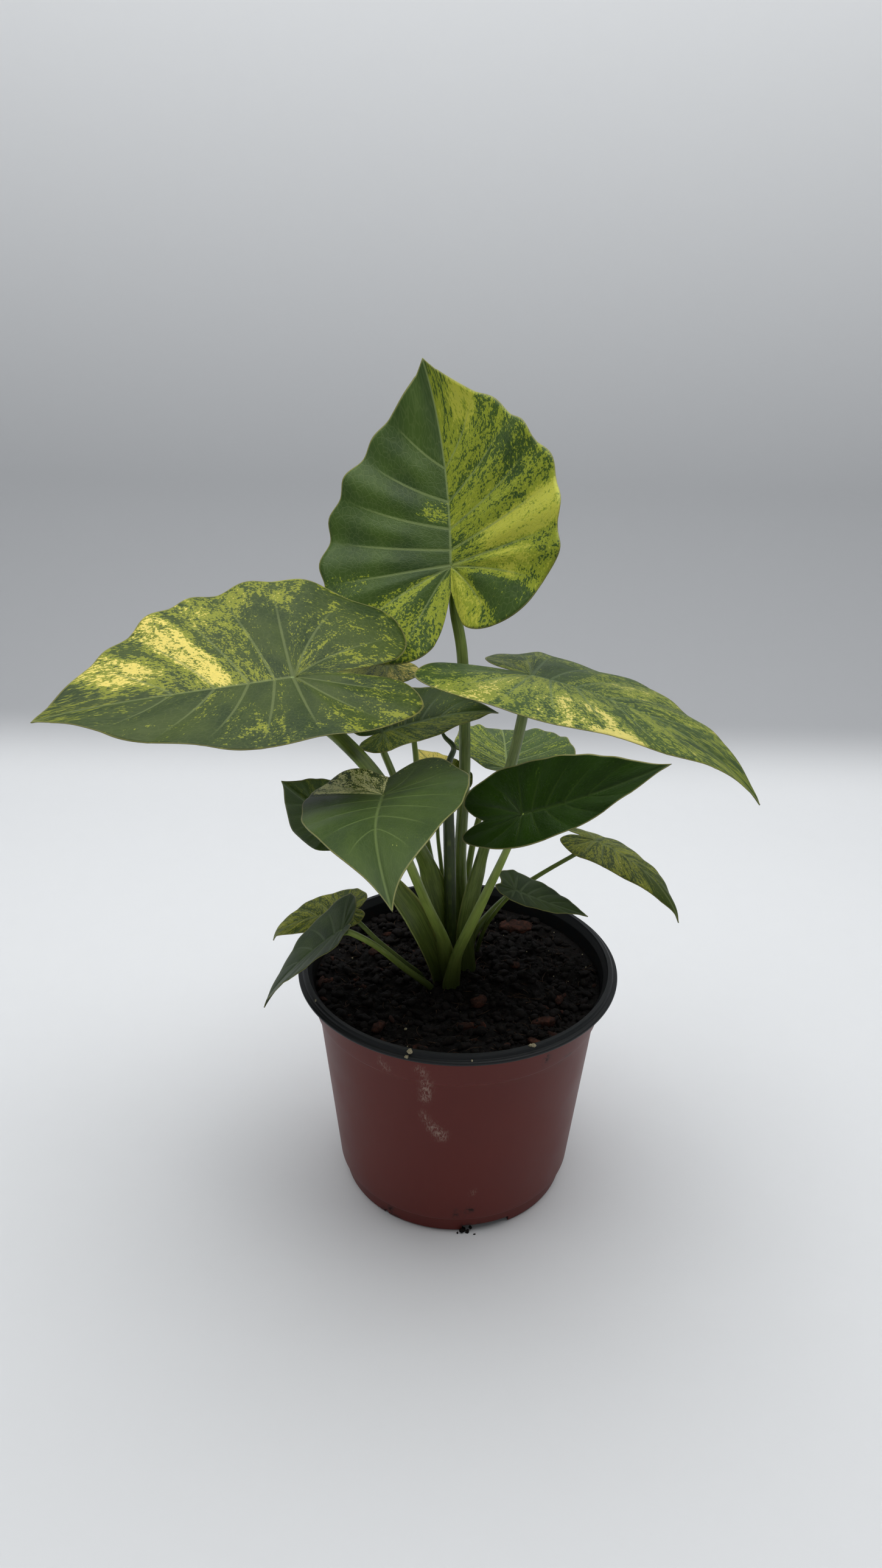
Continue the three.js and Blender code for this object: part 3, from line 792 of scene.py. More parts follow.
LEFT, RIGHT = Side.LEFT, Side.RIGHT
LEAVES = (
    LeafPlan(
        "a", Finish.LEAF_LIME, "leaf_lime", (-7, 25, 192), (93, 55, -36), (94, 34, 60, 65, 11),
        (-12, -10, -2, 15),
        ((2, 9, -9, 3.4, 3, 0), (2, 11, 12, 3.3, 3, 0), (1, 12, 38, 3, 3, 0),
         (0, 13, 61, 2.8, 2.8, 0), (1, 15, 103, 2.6, 2.6, 0), (-1, 21, 151, 2.5, 2.5, 0),
         (-5, 25, 174, 2.4, 2.4, 0)),
        sweep=6, lobe=1.25, fine=True, marbled=(-1.0, 0.12), wave=1.6, fresh=0.15,
        patches=(
            Patch(LEFT, (5.7, 8), (0.1, 1.1), 1.08), Patch(LEFT, (2.0, 2.9), (-0.1, 0.26), 0.85),
            Patch(LEFT, (4.7, 5.5), (0.6, 1.1), 0.8), Patch(LEFT, (6.4, 7.1), (0.1, 0.5), -0.5),
            Patch(RIGHT, (3.9, 4.9), (0.25, 1.1), 0.5, 0.75),
            Patch(RIGHT, (5.1, 6.1), (0.3, 0.75), 0.4, 0.4),
            Patch(RIGHT, (0.6, 1.2), (0.55, 1.1), 0.35, 0.7),
            Patch(RIGHT, (1.9, 3.4), (0.4, 1.1), -0.12),
            Patch(RIGHT, (6.2, 6.8), (0.35, 1.1), -0.5), Patch(RIGHT, (6.9, 8), (0, 1), 0.3, 0.3),
            Patch(RIGHT, (0, 1.3), (-0.1, 0.5), 0.12),
        ),
    ),
    LeafPlan(
        "k", Finish.LEAF_DARK, "leaf_dark", (-34, -14, 131), (20, 12, 20), (56, 12, 20, 15, 4),
        (18, 20, 5, 16),
        ((-8, 11, -9, 3, 1.8, 0), (-10, 10, 19, 3, 1.8, 0), (-12, 8, 46, 2.4, 1.7, 0),
         (-16, 4, 64, 1.8, 1.7, 0), (-30, -6, 108, 1.6, 1.6, 0), (-34, -12, 123, 1.5, 1.5, 0)),
        cup=0.04, sweep=2, marbled=(-0.35, 0.0), wave=0.5,
    ),
    LeafPlan(
        "o", Finish.LEAF_CREAM, "leaf_cream", (-34, 30, 148), (180, 2, -12), (60, 15, 26, 27, 6),
        (10, 10, 5, 8),
        ((-5, 15, -9, 2.3, 1.6, 0), (-9, 16, 19, 2.2, 1.6, 0), (-13, 17, 49, 1.7, 1.5, 0),
         (-19, 21, 79, 1.4, 1.4, 0), (-22, 27, 106, 1.3, 1.3, 0), (-25, 30, 126, 1.3, 1.3, 0),
         (-30, 31, 140, 1.2, 1.2, 0)),
        marbled=(0.1, 0.1), wave=0.6,
        patches=(
            Patch(LEFT, (5, 8), (0.4, 1.1), 0.3, 0.6),
            Patch(RIGHT, (5, 8), (0.4, 1.1), 0.3, 0.6),
        ),
    ),
    LeafPlan(
        "l", Finish.LEAF_LIME, "leaf_lime", (21, 40, 92), (90, 0, 5), (70, 9, 27, 33, 5),
        (13, 4, -5, 18),
        ((3, 15, -9, 2.4, 1.7, 0), (3, 17, 24, 2, 1.6, 0), (4, 20, 47, 1.6, 1.5, 0),
         (8, 28, 69, 1.5, 1.5, 0), (15, 37, 84, 1.4, 1.4, 0)),
        marbled=(-0.12, -0.35), wave=0.7,
    ),
    LeafPlan(
        "m", Finish.LEAF_CREAM, "leaf_cream", (-6, 33, 87), (143, 31, 0), (23, 8, 13, 14, 3),
        (0, 2, 0, 9),
        ((-2, 19, -9, 1.6, 1.2, 0), (-6, 20, 24, 1.3, 1.1, 0), (-9, 21, 49, 1, 1, 0),
         (-11, 25, 66, 0.9, 0.9, 0), (-10, 30, 80, 0.9, 0.9, 0)),
        marbled=(0.05, 0.0), wave=0.3,
        patches=(
            Patch(LEFT, (0, 2.5), (-0.1, 1.1), 0.6, 0.8),
            Patch(RIGHT, (0, 2.5), (-0.1, 1.1), 0.6, 0.8),
        ),
    ),
    LeafPlan(
        "c", Finish.LEAF_DARK, "leaf_dark", (27, -11, 157), (-18, -6, -5), (109, 44, 46, 44, 6),
        (25, 22, 12, 6),
        ((6, 3, -9, 4.6, 2.4, 0.4), (3, 4, 18, 4.6, 2.6, 0.5), (5, 4, 39, 4.4, 2.6, 0.5),
         (8, 4, 54, 3.6, 2.4, 0.2), (11, 3, 69, 2.6, 2.3, 0), (21, -5, 114, 2.4, 2.4, 0),
         (26, -10, 146, 2.3, 2.3, 0)),
        cup=0.17, lobe=0.55, fine=True, marbled=(-0.12, 0.06), wave=0.9, fresh=0.2, face=-66,
        patches=(
            Patch(RIGHT, (5.1, 6.1), (0.25, 1.1), 0.32, 0.1),
            Patch(RIGHT, (2.6, 4.4), (0.45, 1.1), 0.12, 0.6),
            Patch(RIGHT, (6.3, 8), (0, 1.1), -0.3), Patch(LEFT, (1, 3), (0.3, 1.1), 0.25, 0.2),
            Patch(LEFT, (3.4, 5.4), (-0.1, 0.5), -0.3),
            Patch(RIGHT, (2.4, 3.4), (0.9, 1.1), 0.5, 0.9),
        ),
    ),
    LeafPlan(
        "b", Finish.LEAF_CREAM, "leaf_cream", (-66, -39, 164), (198, -4, -16),
        (100, 52, 45, 62, 17), (-1, 12, 20, 5),
        ((-7, 3, -9, 5.2, 2.6, 0.5), (-5, 4, 16, 6.4, 3.2, 0.7), (-9, 2, 39, 6.8, 3.4, 0.7),
         (-13, 0, 54, 5.4, 3.2, 0.5), (-18, -4, 70, 3.4, 3, 0), (-34, -22, 111, 3.2, 3.1, 0),
         (-49, -36, 137, 3, 3, 0), (-64, -41, 152, 2.6, 2.6, 0)),
        sweep=-1, lobe=0.9, fine=True, marbled=(-0.5, -0.02), wave=1.3, fresh=0.15, face=128,
        patches=(
            Patch(RIGHT, (1.9, 2.7), (0.0, 1.1), 0.45, 0.7),
            Patch(RIGHT, (0.7, 1.4), (0.4, 1.1), 0.42, 0.6),
            Patch(RIGHT, (4.1, 5.2), (-0.1, 0.7), -0.42), Patch(RIGHT, (5.3, 8), (-0.1, 1.1), -0.2),
            Patch(RIGHT, (3.0, 3.9), (0.1, 0.7), -0.12),
            Patch(RIGHT, (3.0, 3.5), (0.6, 1.1), 0.2, 0.4),
            Patch(LEFT, (3.1, 4.4), (0.35, 0.8), 0.3), Patch(LEFT, (0, 1.2), (0.2, 1.1), 0.25),
            Patch(LEFT, (5.2, 8), (0.5, 1.1), 0.26), Patch(LEFT, (2.0, 2.6), (0.1, 0.6), 0.2),
        ),
    ),
    LeafPlan(
        "d", Finish.LEAF_GREEN, "leaf_green", (-30, -64, 126), (-93, 9, 9), (93, 27, 34, 30, 19),
        (-4, 53, -14, 9),
        ((-3, -3, -9, 4.2, 2.2, 0.4), (-5, -5, 8, 4.4, 2.4, 0.5), (-6, -9, 22, 4.2, 2.4, 0.4),
         (-8, -14, 33, 3, 2.2, 0), (-14, -26, 55, 2.2, 2.1, 0), (-22, -44, 88, 2, 2, 0),
         (-28, -57, 113, 1.9, 1.9, 0)),
        cup=0.1, sweep=12, lobe=1.1, fine=True, marbled=(-0.85, -1.0), wave=0.5, fresh=0.75,
        patches=(
            Patch(RIGHT, (5.15, 8), (-0.1, 1.1), 1.2, 1.1, 0.05),
            Patch(RIGHT, (4.8, 5.3), (0.45, 0.95), 0.6, 0.0, 0.08),
            Patch(LEFT, (5.6, 8), (0.3, 1.1), 0.35),
        ),
    ),
    LeafPlan(
        "f", Finish.LEAF_CREAM, "leaf_cream", (62, 16, 67), (-30, -6, -2), (56, 15, 17, 13, 7),
        (45, 17, 10, -13),
        ((9, 9, -9, 3.4, 1.8, 0.3), (6, 11, 8, 3.2, 1.8, 0.3), (9, 12, 20, 2.4, 1.6, 0),
         (22, 17, 34, 1.6, 1.5, 0), (37, 20, 45, 1.1, 1.1, 0), (55, 18, 59, 1, 1, 0)),
        cup=0.1, sweep=-2, lobe=1.1, marbled=(0.0, 0.05), wave=0.4,
        patches=(
            Patch(LEFT, (0, 1.4), (-0.1, 1.1), -0.4),
            Patch(RIGHT, (0, 1.4), (-0.1, 1.1), -0.4),
        ),
    ),
    LeafPlan(
        "j", Finish.LEAF_DARK, "leaf_dark", (-52, -22, 94), (187, 31, 77), (30, 13, 16, 25, 6),
        (-2, 0, 0, 13),
        ((-8, -5, -9, 3.6, 2, 0.5), (-8, -8, 6, 4.6, 3, 0.8), (-12, -12, 24, 5.6, 4.2, 1),
         (-19, -17, 44, 6.2, 5, 1), (-27, -20, 58, 5, 4, 0.9), (-34, -21, 69, 2, 1.8, 0),
         (-46, -22, 86, 1.3, 1.3, 0)),
        sweep=4, marbled=(-0.2, -0.85), wave=0.4, face=142,
    ),
    LeafPlan(
        "e", Finish.LEAF_GLOSSY, "leaf_dark", (23, -62, 118), (-38, 28, 56), (68, 29, 20, 14, 19),
        (5, 2, -13, 9),
        ((-2, -8, -9, 4, 2, 0.4), (-3, -10, 2, 4.5, 2.4, 0.5), (-2, -12, 12, 3.8, 2.4, 0.3),
         (0, -15, 24, 2.7, 2.3, 0), (7, -24, 48, 2.4, 2.2, 0), (19, -46, 94, 1.5, 1.5, 0),
         (22, -57, 111, 1.4, 1.4, 0)),
        sweep=8, fine=True, marbled=(-0.55, -0.75), wave=0.5, fresh=0.8,
    ),
    LeafPlan(
        "g", Finish.LEAF_DARK, "leaf_dark", (25, -2, 50), (-9, -20, 2), (36, 9, 16, 9, 7),
        (-6, 4, -8, 3),
        ((9, 19, -9, 1.2, 1.1, 0), (9, 18, 2, 1.1, 1.1, 0), (12, 13, 18, 1, 1, 0),
         (16, 6, 31, 0.9, 0.9, 0), (22, 0, 44, 0.9, 0.9, 0)),
        cup=0.08, sweep=2, marbled=(-0.8, -0.9), wave=0.3,
    ),
    LeafPlan(
        "i", Finish.LEAF_CREAM, "leaf_cream", (-51, -8, 40), (174, -13, -20), (49, 9, 9, 15, 5),
        (34, 30, -10, -5),
        ((-13, -3, -9, 1.7, 1.4, 0), (-17, -6, 4, 1.5, 1.3, 0), (-25, -8, 13, 1.3, 1.2, 0),
         (-37, -9, 25, 1.2, 1.1, 0), (-46, -9, 35, 1.1, 1.1, 0)),
        cup=0.08, sweep=-3, marbled=(-0.05, 0.0), wave=0.3,
    ),
    LeafPlan(
        "h", Finish.LEAF_DARK, "leaf_dark", (-50, -38, 49), (170, -40, -6), (60, 8, 22, 22, 4),
        (18, 8, -6, 11),
        ((-9, -8, -9, 2.4, 1.8, 0), (-12, -11, 1, 2.2, 1.7, 0), (-23, -19, 16, 1.7, 1.5, 0),
         (-36, -28, 34, 1.5, 1.4, 0), (-46, -35, 45, 1.4, 1.4, 0)),
        cup=0.02, sweep=2, marbled=(-0.75, -0.9), wave=0.4, fresh=0.6,
    ),
)

# The rolled new leaf, as a petiole's list.
SPEAR_ROUTE = (
    (-3, 5, -9, 2.8, 2.6, 0), (-4, 4, 33, 2.8, 2.7, 0), (-5, 4, 65, 2.7, 2.7, 0),
    (-6, 4, 94, 2.4, 2.4, 0), (-6, 4, 109, 1.9, 1.5, 0), (-4, 4, 117, 1.7, 1.2, 0),
    (-8, 4, 122, 1.1, 0.9, 0), (-10, 4, 126, 0.3, 0.3, 0),
)


@dataclass
class Stalk:
    """A petiole or the spear: a lofted section along its route."""

    route: np.ndarray
    outward: np.ndarray
    fresh: float
    around: int = 28
    each: int = 10

    def section(self, wide: float, deep: float, open_share: float) -> np.ndarray:
        """Draw the section: round when closed, a channel when open.

        Args:
            wide: Half width.
            deep: Half depth.
            open_share: 0 for a closed stalk, 1 for an open channel.

        Returns:
            Width and depth of each point round the section.
        """
        angle = 2 * math.pi * np.arange(self.around) / self.around
        sine = np.sin(angle)
        inner = (-1 + 1.7 * np.clip(open_share, 0, 1)) * deep
        return np.stack([wide * np.cos(angle), np.where(sine >= 0, deep * sine, -inner * sine)], 1)

    def skin(self) -> Skin:
        """Loft the stalk from its root to its rounded top.

        Returns:
            The closed mesh.
        """
        last = len(self.route) - 1
        places = np.linspace(0, last, last * self.each + 1)
        here = catmull(self.route, places)
        ahead = catmull(self.route, np.minimum(places + 0.05, last))
        behind = catmull(self.route, np.maximum(places - 0.05, 0))
        run = (ahead - behind)[:, :3]
        run /= np.linalg.norm(run, axis=1, keepdims=True)
        level = np.array([-self.outward[1], self.outward[0], 0.0])
        rings, stem = [], []
        runs = np.linalg.norm(np.diff(here[:, :3], axis=0), axis=1)
        length = np.concatenate([[0], np.cumsum(runs)])
        rows = [(i, 1.0, 0.0) for i in range(len(places))]
        rows += [(len(places) - 1, math.cos(a * DEG), math.sin(a * DEG)) for a in (25, 50, 70, 84)]
        for i, shrink, push in rows:
            wide = level - run[i] * level.dot(run[i])
            wide /= np.linalg.norm(wide)
            deep = np.cross(wide, run[i])
            if deep.dot(self.outward) < 0 and run[i][2] > 0.2:
                deep = -deep
            outline = self.section(here[i, 3] * shrink, here[i, 4] * shrink, here[i, 5])
            middle = here[i, :3] + run[i] * push * here[i, 4]
            rings.append(middle + outline[:, :1] * wide + outline[:, 1:] * deep)
            turn = np.arange(self.around) / self.around
            wing = np.abs(np.cos(2 * math.pi * turn)) ** 6 * np.clip(here[i, 5] * 2.5, 0, 1)
            stem.append(np.stack([np.full(self.around, length[i]), outline[:, 0], wing], 1))
        points, faces = lofted(np.array(rings))
        stem = np.vstack([np.array(stem).reshape(-1, 3), [[0, 0, 0], [length[-1], 0, 0]]])
        tone = np.tile([self.fresh, 0.0, 0.0], (len(points), 1))
        skin = Skin(points, faces, marks={"stem": stem, "tone": tone})
        middle = skin.points.mean(0)
        if (skin.normals() * (skin.points - middle)).sum() < 0:
            skin.faces = [tuple(reversed(f)) for f in skin.faces]
        return skin


@dataclass
class Leaf:
    """A blade and its petiole, built from one plan."""

    plan: LeafPlan
    soil_level: float
    seed: int

    @property
    def at(self) -> np.ndarray:
        """Where the petiole meets the blade."""
        return np.array(self.plan.at) + [0, 0, self.soil_level]

    def axes(self) -> tuple[np.ndarray, np.ndarray, np.ndarray]:
        """Turn the plan's aim into directions.

        Returns:
            The directions along the midrib, to the left and up from the blade.
        """
        az, el, roll = (v * DEG for v in self.plan.aim)
        along = np.array([math.cos(el) * math.cos(az), math.cos(el) * math.sin(az), math.sin(el)])
        level = np.array([-math.sin(az), math.cos(az), 0])
        up = np.cross(along, level)
        left = level * math.cos(roll) + up * math.sin(roll)
        return along, left, up * math.cos(roll) - level * math.sin(roll)

    def half_plan(self, side: Side, steps: int, spans: int) -> dict[str, np.ndarray]:
        """Lay one half of the blade flat, rib by rib.

        Args:
            side: Which half.
            steps: Rows from the tip to the notch.
            spans: Columns from the midrib to the margin.

        Returns:
            Grids of the flat places and of the pattern's coordinates.
        """
        length, lobe, wide_left, wide_right, notch = self.plan.size
        wide = wide_left if side is LEFT else wide_right
        back = lobe * self.plan.lobe if side is LEFT else lobe
        ends = np.where(RIBS[:, 1] > 0, length, back) * RIBS[:, 1]
        ends[-1] = -notch
        rows = np.stack([RIBS[:, 0] * length, ends, RIBS[:, 2] * wide], 1)
        rib = np.linspace(0, len(RIBS) - 1, steps + 1)
        start, end, out = catmull(rows, rib).T[:, :, None]
        start, out = np.maximum(start, 0), np.maximum(out, 0)
        vein = np.interp(rib, *VEIN_AT)[:, None]
        q = (np.arange(spans + 1) / spans)[None, :] ** 1.3
        scallop = 1 + 0.014 * self.plan.wave * q ** 4 * np.cos(2 * math.pi * (vein - 0.5))
        scallop = np.where((vein < 0.4) | (vein > LAST_VEIN - 0.5), 1, scallop)
        s = (1 - q) ** 2 * start + 2 * q * (1 - q) * (start + 0.35 * (end - start)) + q * q * end
        t = (2 * q * (1 - q) * 0.55 + q * q) * out
        s, t = start + (s - start) * scallop, t * scallop
        reach = np.hypot(end - start, out)
        step = np.hypot(np.gradient(s, axis=0), np.gradient(t, axis=0)) * steps / (len(RIBS) - 1)
        pace = np.gradient(np.interp(rib, *VEIN_AT), rib)[:, None]
        near = np.clip(np.round(vein), 1, LAST_VEIN - 1)
        full = np.ones_like(s)
        return {
            "s": s, "t": t * side.value, "q": q * full, "vein": vein * full, "back": back * full,
            "wide": wide * full, "along_vein": q * reach, "margin": (1 - q) * reach,
            "from_vein": np.abs(vein - near) * step / pace, "side": side.value * full,
        }

    def bent(self, s: np.ndarray, t: np.ndarray, back: np.ndarray, wide: np.ndarray) -> np.ndarray:
        """Carry flat places into space with the plan's bend, droop and fold.

        Args:
            s: Distance along the midrib from the petiole.
            t: Distance across, positive to the left.
            back: Length of that side's back lobe.
            wide: That side's half width.

        Returns:
            The places in space.
        """
        plan = self.plan
        bend, hook, droop, fold = (v * DEG for v in plan.curl)
        along, left, normal = self.axes()
        length = plan.size[0]
        u = np.linspace(0, 1, 400)
        angle = bend * u + hook * u ** 4
        cells = length * np.diff(u)
        ahead = np.concatenate([[0], np.cumsum(np.cos(angle[:-1]) * cells)])
        down = np.concatenate([[0], -np.cumsum(np.sin(angle[:-1]) * cells)])
        reach = np.clip(s / length, 0, 1)
        behind = np.clip(-s / back, 0, 2)
        turn = np.where(s > 0, bend * reach + hook * reach ** 4, -droop * behind)
        x = np.where(s > 0, np.interp(reach, u, ahead), s * np.cos(turn / 2))
        z = np.where(s > 0, np.interp(reach, u, down), -s * np.sin(turn / 2))
        slope = np.sqrt(t * t + FOLD_ROUND ** 2) - FOLD_ROUND
        rise = math.tan(fold) * slope - plan.cup * t * t / wide
        across = t * math.cos(fold) + plan.sweep * reach ** 2
        return (self.at + (x + rise * np.sin(turn))[:, None] * along + across[:, None] * left
                + (z + rise * np.cos(turn))[:, None] * normal)

    def pattern(self, vein: np.ndarray, q: np.ndarray, side: np.ndarray) -> np.ndarray:
        """Work out how strongly each place is marbled.

        Args:
            vein: Vein number.
            q: Share of the way from the midrib to the margin.
            side: 1 on the left half and -1 on the right.

        Returns:
            Strength, brightness and a spare 0 for each place.
        """
        strength = np.where(side > 0, *self.plan.marbled).astype(float)
        vigour = np.zeros_like(strength)
        for patch in self.plan.patches:
            spot = between(vein, *patch.veins, patch.soft) * between(q, *patch.reach, patch.soft)
            spot = spot * (side == patch.side.value)
            strength += spot * patch.strength
            vigour += spot * patch.vigour
        return np.stack([strength, vigour, np.zeros_like(strength)], -1)

    def blade(self) -> Skin:
        """Build the blade: a thin closed skin with grooved veins, a keel and a waved margin.

        Returns:
            The mesh with its pattern numbers.
        """
        plan = self.plan
        steps, spans = (132, 34) if plan.fine else (88, 18)
        halves = [self.half_plan(side, steps, spans) for side in Side]
        flat = {k: np.concatenate([h[k].ravel() for h in halves]) for k in halves[0]}
        keys = np.round(np.stack([flat["s"], flat["t"]], 1) * 500).astype(np.int64)
        _, first, index = np.unique(keys, axis=0, return_index=True, return_inverse=True)
        index = index.ravel()
        at = {k: v[first] for k, v in flat.items()}
        points = self.bent(at["s"], at["t"], at["back"], at["wide"])

        faces, corners = [], []
        size = (steps + 1) * (spans + 1)
        for number, side in enumerate(Side):
            for i in range(steps):
                for j in range(spans):
                    a = number * size + i * (spans + 1) + j
                    quad = [a, a + 1, a + spans + 2, a + spans + 1]
                    if side is RIGHT:
                        quad.reverse()
                    kept = [c for k, c in enumerate(quad) if index[c] != index[quad[k - 1]]]
                    if len(kept) > 2:
                        faces.append(tuple(index[kept].tolist()))
                        corners.append(kept)

        fade = smooth(at["q"], 0.08, 0.5)
        between_veins = np.cos(2 * math.pi * at["vein"])
        open_part = between(at["vein"], 0.6, LAST_VEIN - 0.4, 0.3)
        pillow = -0.34 * plan.wave * between_veins * fade * open_part
        wander = np.sin(math.pi * at["vein"] * 0.93 + self.seed) * at["q"] ** 3 * open_part
        groove = -0.28 * np.exp(-(at["from_vein"] / 0.7) ** 2) * (1 - 0.7 * at["q"]) * open_part
        rib = -0.35 * np.exp(-(at["t"] / 0.9) ** 2) * (at["s"] > -1)
        skin = Skin(points, faces)
        lift = pillow + plan.wave * 0.9 * wander + groove + rib
        skin.points = points + skin.normals() * lift[:, None]
        normals = skin.normals()

        ahead = np.clip(at["s"] / plan.size[0], 0, 1)
        keel_wide = 1.5 - 0.9 * ahead
        keel = (KEEL_DEPTH * (1.35 - 1.25 * ahead)) * np.exp(-(at["t"] / keel_wide) ** 2)
        keel = keel * smooth(at["s"], -3, 0)
        ridge = 0.35 * np.exp(-(at["from_vein"] / 0.6) ** 2) * (1 - at["q"]) * open_part
        half = HALF_BLADE * (1 - 0.5 * at["q"] ** 8)
        over = skin.points + normals * half[:, None]
        under = skin.points - normals * (half + keel + ridge)[:, None]
        return self.closed(over, under, faces, corners, flat)

    def closed(self, over: np.ndarray, under: np.ndarray, faces: list[tuple[int, ...]],
               corners: list[list[int]], flat: dict[str, np.ndarray]) -> Skin:
        """Join the upper and the lower skin along the margin.

        Args:
            over: Points of the upper skin.
            under: Points of the lower skin.
            faces: Faces of the upper skin.
            corners: The flat place behind each face corner.
            flat: Pattern coordinates of the flat places.

        Returns:
            The closed mesh.
        """
        count = len(over)
        edges: dict[tuple[int, int], tuple[int, int]] = {}
        for face, places in zip(faces, corners):
            for k in range(len(face)):
                edges[(face[k - 1], face[k])] = (places[k - 1], places[k])
        shell = list(faces)
        places = [list(c) for c in corners]
        lower = [[0.0] * len(c) for c in corners]
        for face, own in zip(faces, corners):
            shell.append(tuple(count + v for v in reversed(face)))
            places.append(list(reversed(own)))
            lower.append([1.0] * len(own))
        for (a, b), (u, v) in edges.items():
            if (b, a) not in edges:
                shell.append((b, a, count + a, count + b))
                places.append([v, u, u, v])
                lower.append([0.0, 0.0, 1.0, 1.0])
        flat_list = np.array([p for face in places for p in face])
        under_list = np.array([v for face in lower for v in face])
        pick = {k: v[flat_list] for k, v in flat.items()}
        grain = np.stack([pick["vein"] * 13, pick["along_vein"],
                          pick["side"] * 3 + self.seed * 11.0], 1)
        tone = self.pattern(pick["vein"], pick["q"], pick["side"])
        numbers = {
            "vein": np.stack([pick["vein"], pick["q"], under_list], 1),
            "grain": grain,
            "tone": tone,
            "place": np.stack([pick["margin"], np.abs(pick["t"]) + 9 * (pick["s"] < -1),
                               pick["from_vein"]], 1),
        }
        return Skin(np.vstack([over, under]), shell, corners=numbers)

    def petiole(self) -> Skin:
        """Build the petiole up to the underside of the blade.

        Returns:
            The mesh.
        """
        route = np.array(self.plan.stem, float) + [0, 0, self.soil_level, 0, 0, 0]
        wide, deep = route[-1, 3:5]
        along, _, normal = self.axes()
        top = self.at - normal * (0.9 * deep + HALF_BLADE) + along * 1.2
        route = np.vstack([route, [*top, 0.95 * wide, 0.95 * deep, 0]])
        outward = np.array([*(self.at - route[0, :3])[:2], 0])
        if self.plan.face is not None:
            outward = np.array([math.cos(self.plan.face * DEG), math.sin(self.plan.face * DEG), 0])
        return Stalk(route, outward / np.linalg.norm(outward), self.plan.fresh).skin()

    def make(self) -> list[bpy.types.Object]:
        """Make both pieces and dress them.

        Returns:
            The blade and the petiole.
        """
        plan = self.plan
        blade = self.blade().build(f"leaf_{plan.name}_blade", [plan.finish.made()])
        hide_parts(f"blade_{plan.name}")
        petiole = self.petiole().build(f"leaf_{plan.name}_petiole", [Finish.STEM.made()])
        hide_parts(f"petiole_{plan.name}")
        return [blade, petiole]


@dataclass
class Spear:
    """The new leaf, still rolled, standing in the middle of the crown."""

    soil_level: float
    overlap: float = 0.35

    def make(self) -> list[bpy.types.Object]:
        """Make the roll, with the free edge of the blade wound round it.

        Returns:
            The piece.
        """
        route = np.array(SPEAR_ROUTE, float) + [0, 0, self.soil_level, 0, 0, 0]
        sides = 36
        skin = Stalk(route, np.array([-1.0, 0, 0]), 0.1, sides, 14).skin()
        count = (len(skin.points) - 2) // sides
        body = skin.points[:count * sides].reshape(count, sides, 3)
        middle = body.mean(1, keepdims=True)
        turn = np.arange(sides)[None, :] / sides
        height = (body[:, :1, 2] - self.soil_level) / SPEAR_TALL
        seam = (turn - 0.55 - 0.4 * np.clip(height, 0, 1)) % 1
        step = 1 + self.overlap * (0.5 - seam) * 0.35 * smooth(height, 0.3, 0.6)
        body = middle + (body - middle) * step[..., None]
        skin.points[:count * sides] = body.reshape(-1, 3)
        piece = skin.build("spear_roll", [Finish.SPEAR.made()])
        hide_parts("spear")
        return [piece]


# ---- pot ------------------------------------------------------------------------------------

@dataclass(frozen=True)
class Scuff:
    """A mark on the pot's wall, from one place to another."""

    start: tuple[float, float]
    end: tuple[float, float]
    half_width: float
    strength: float = 1.0


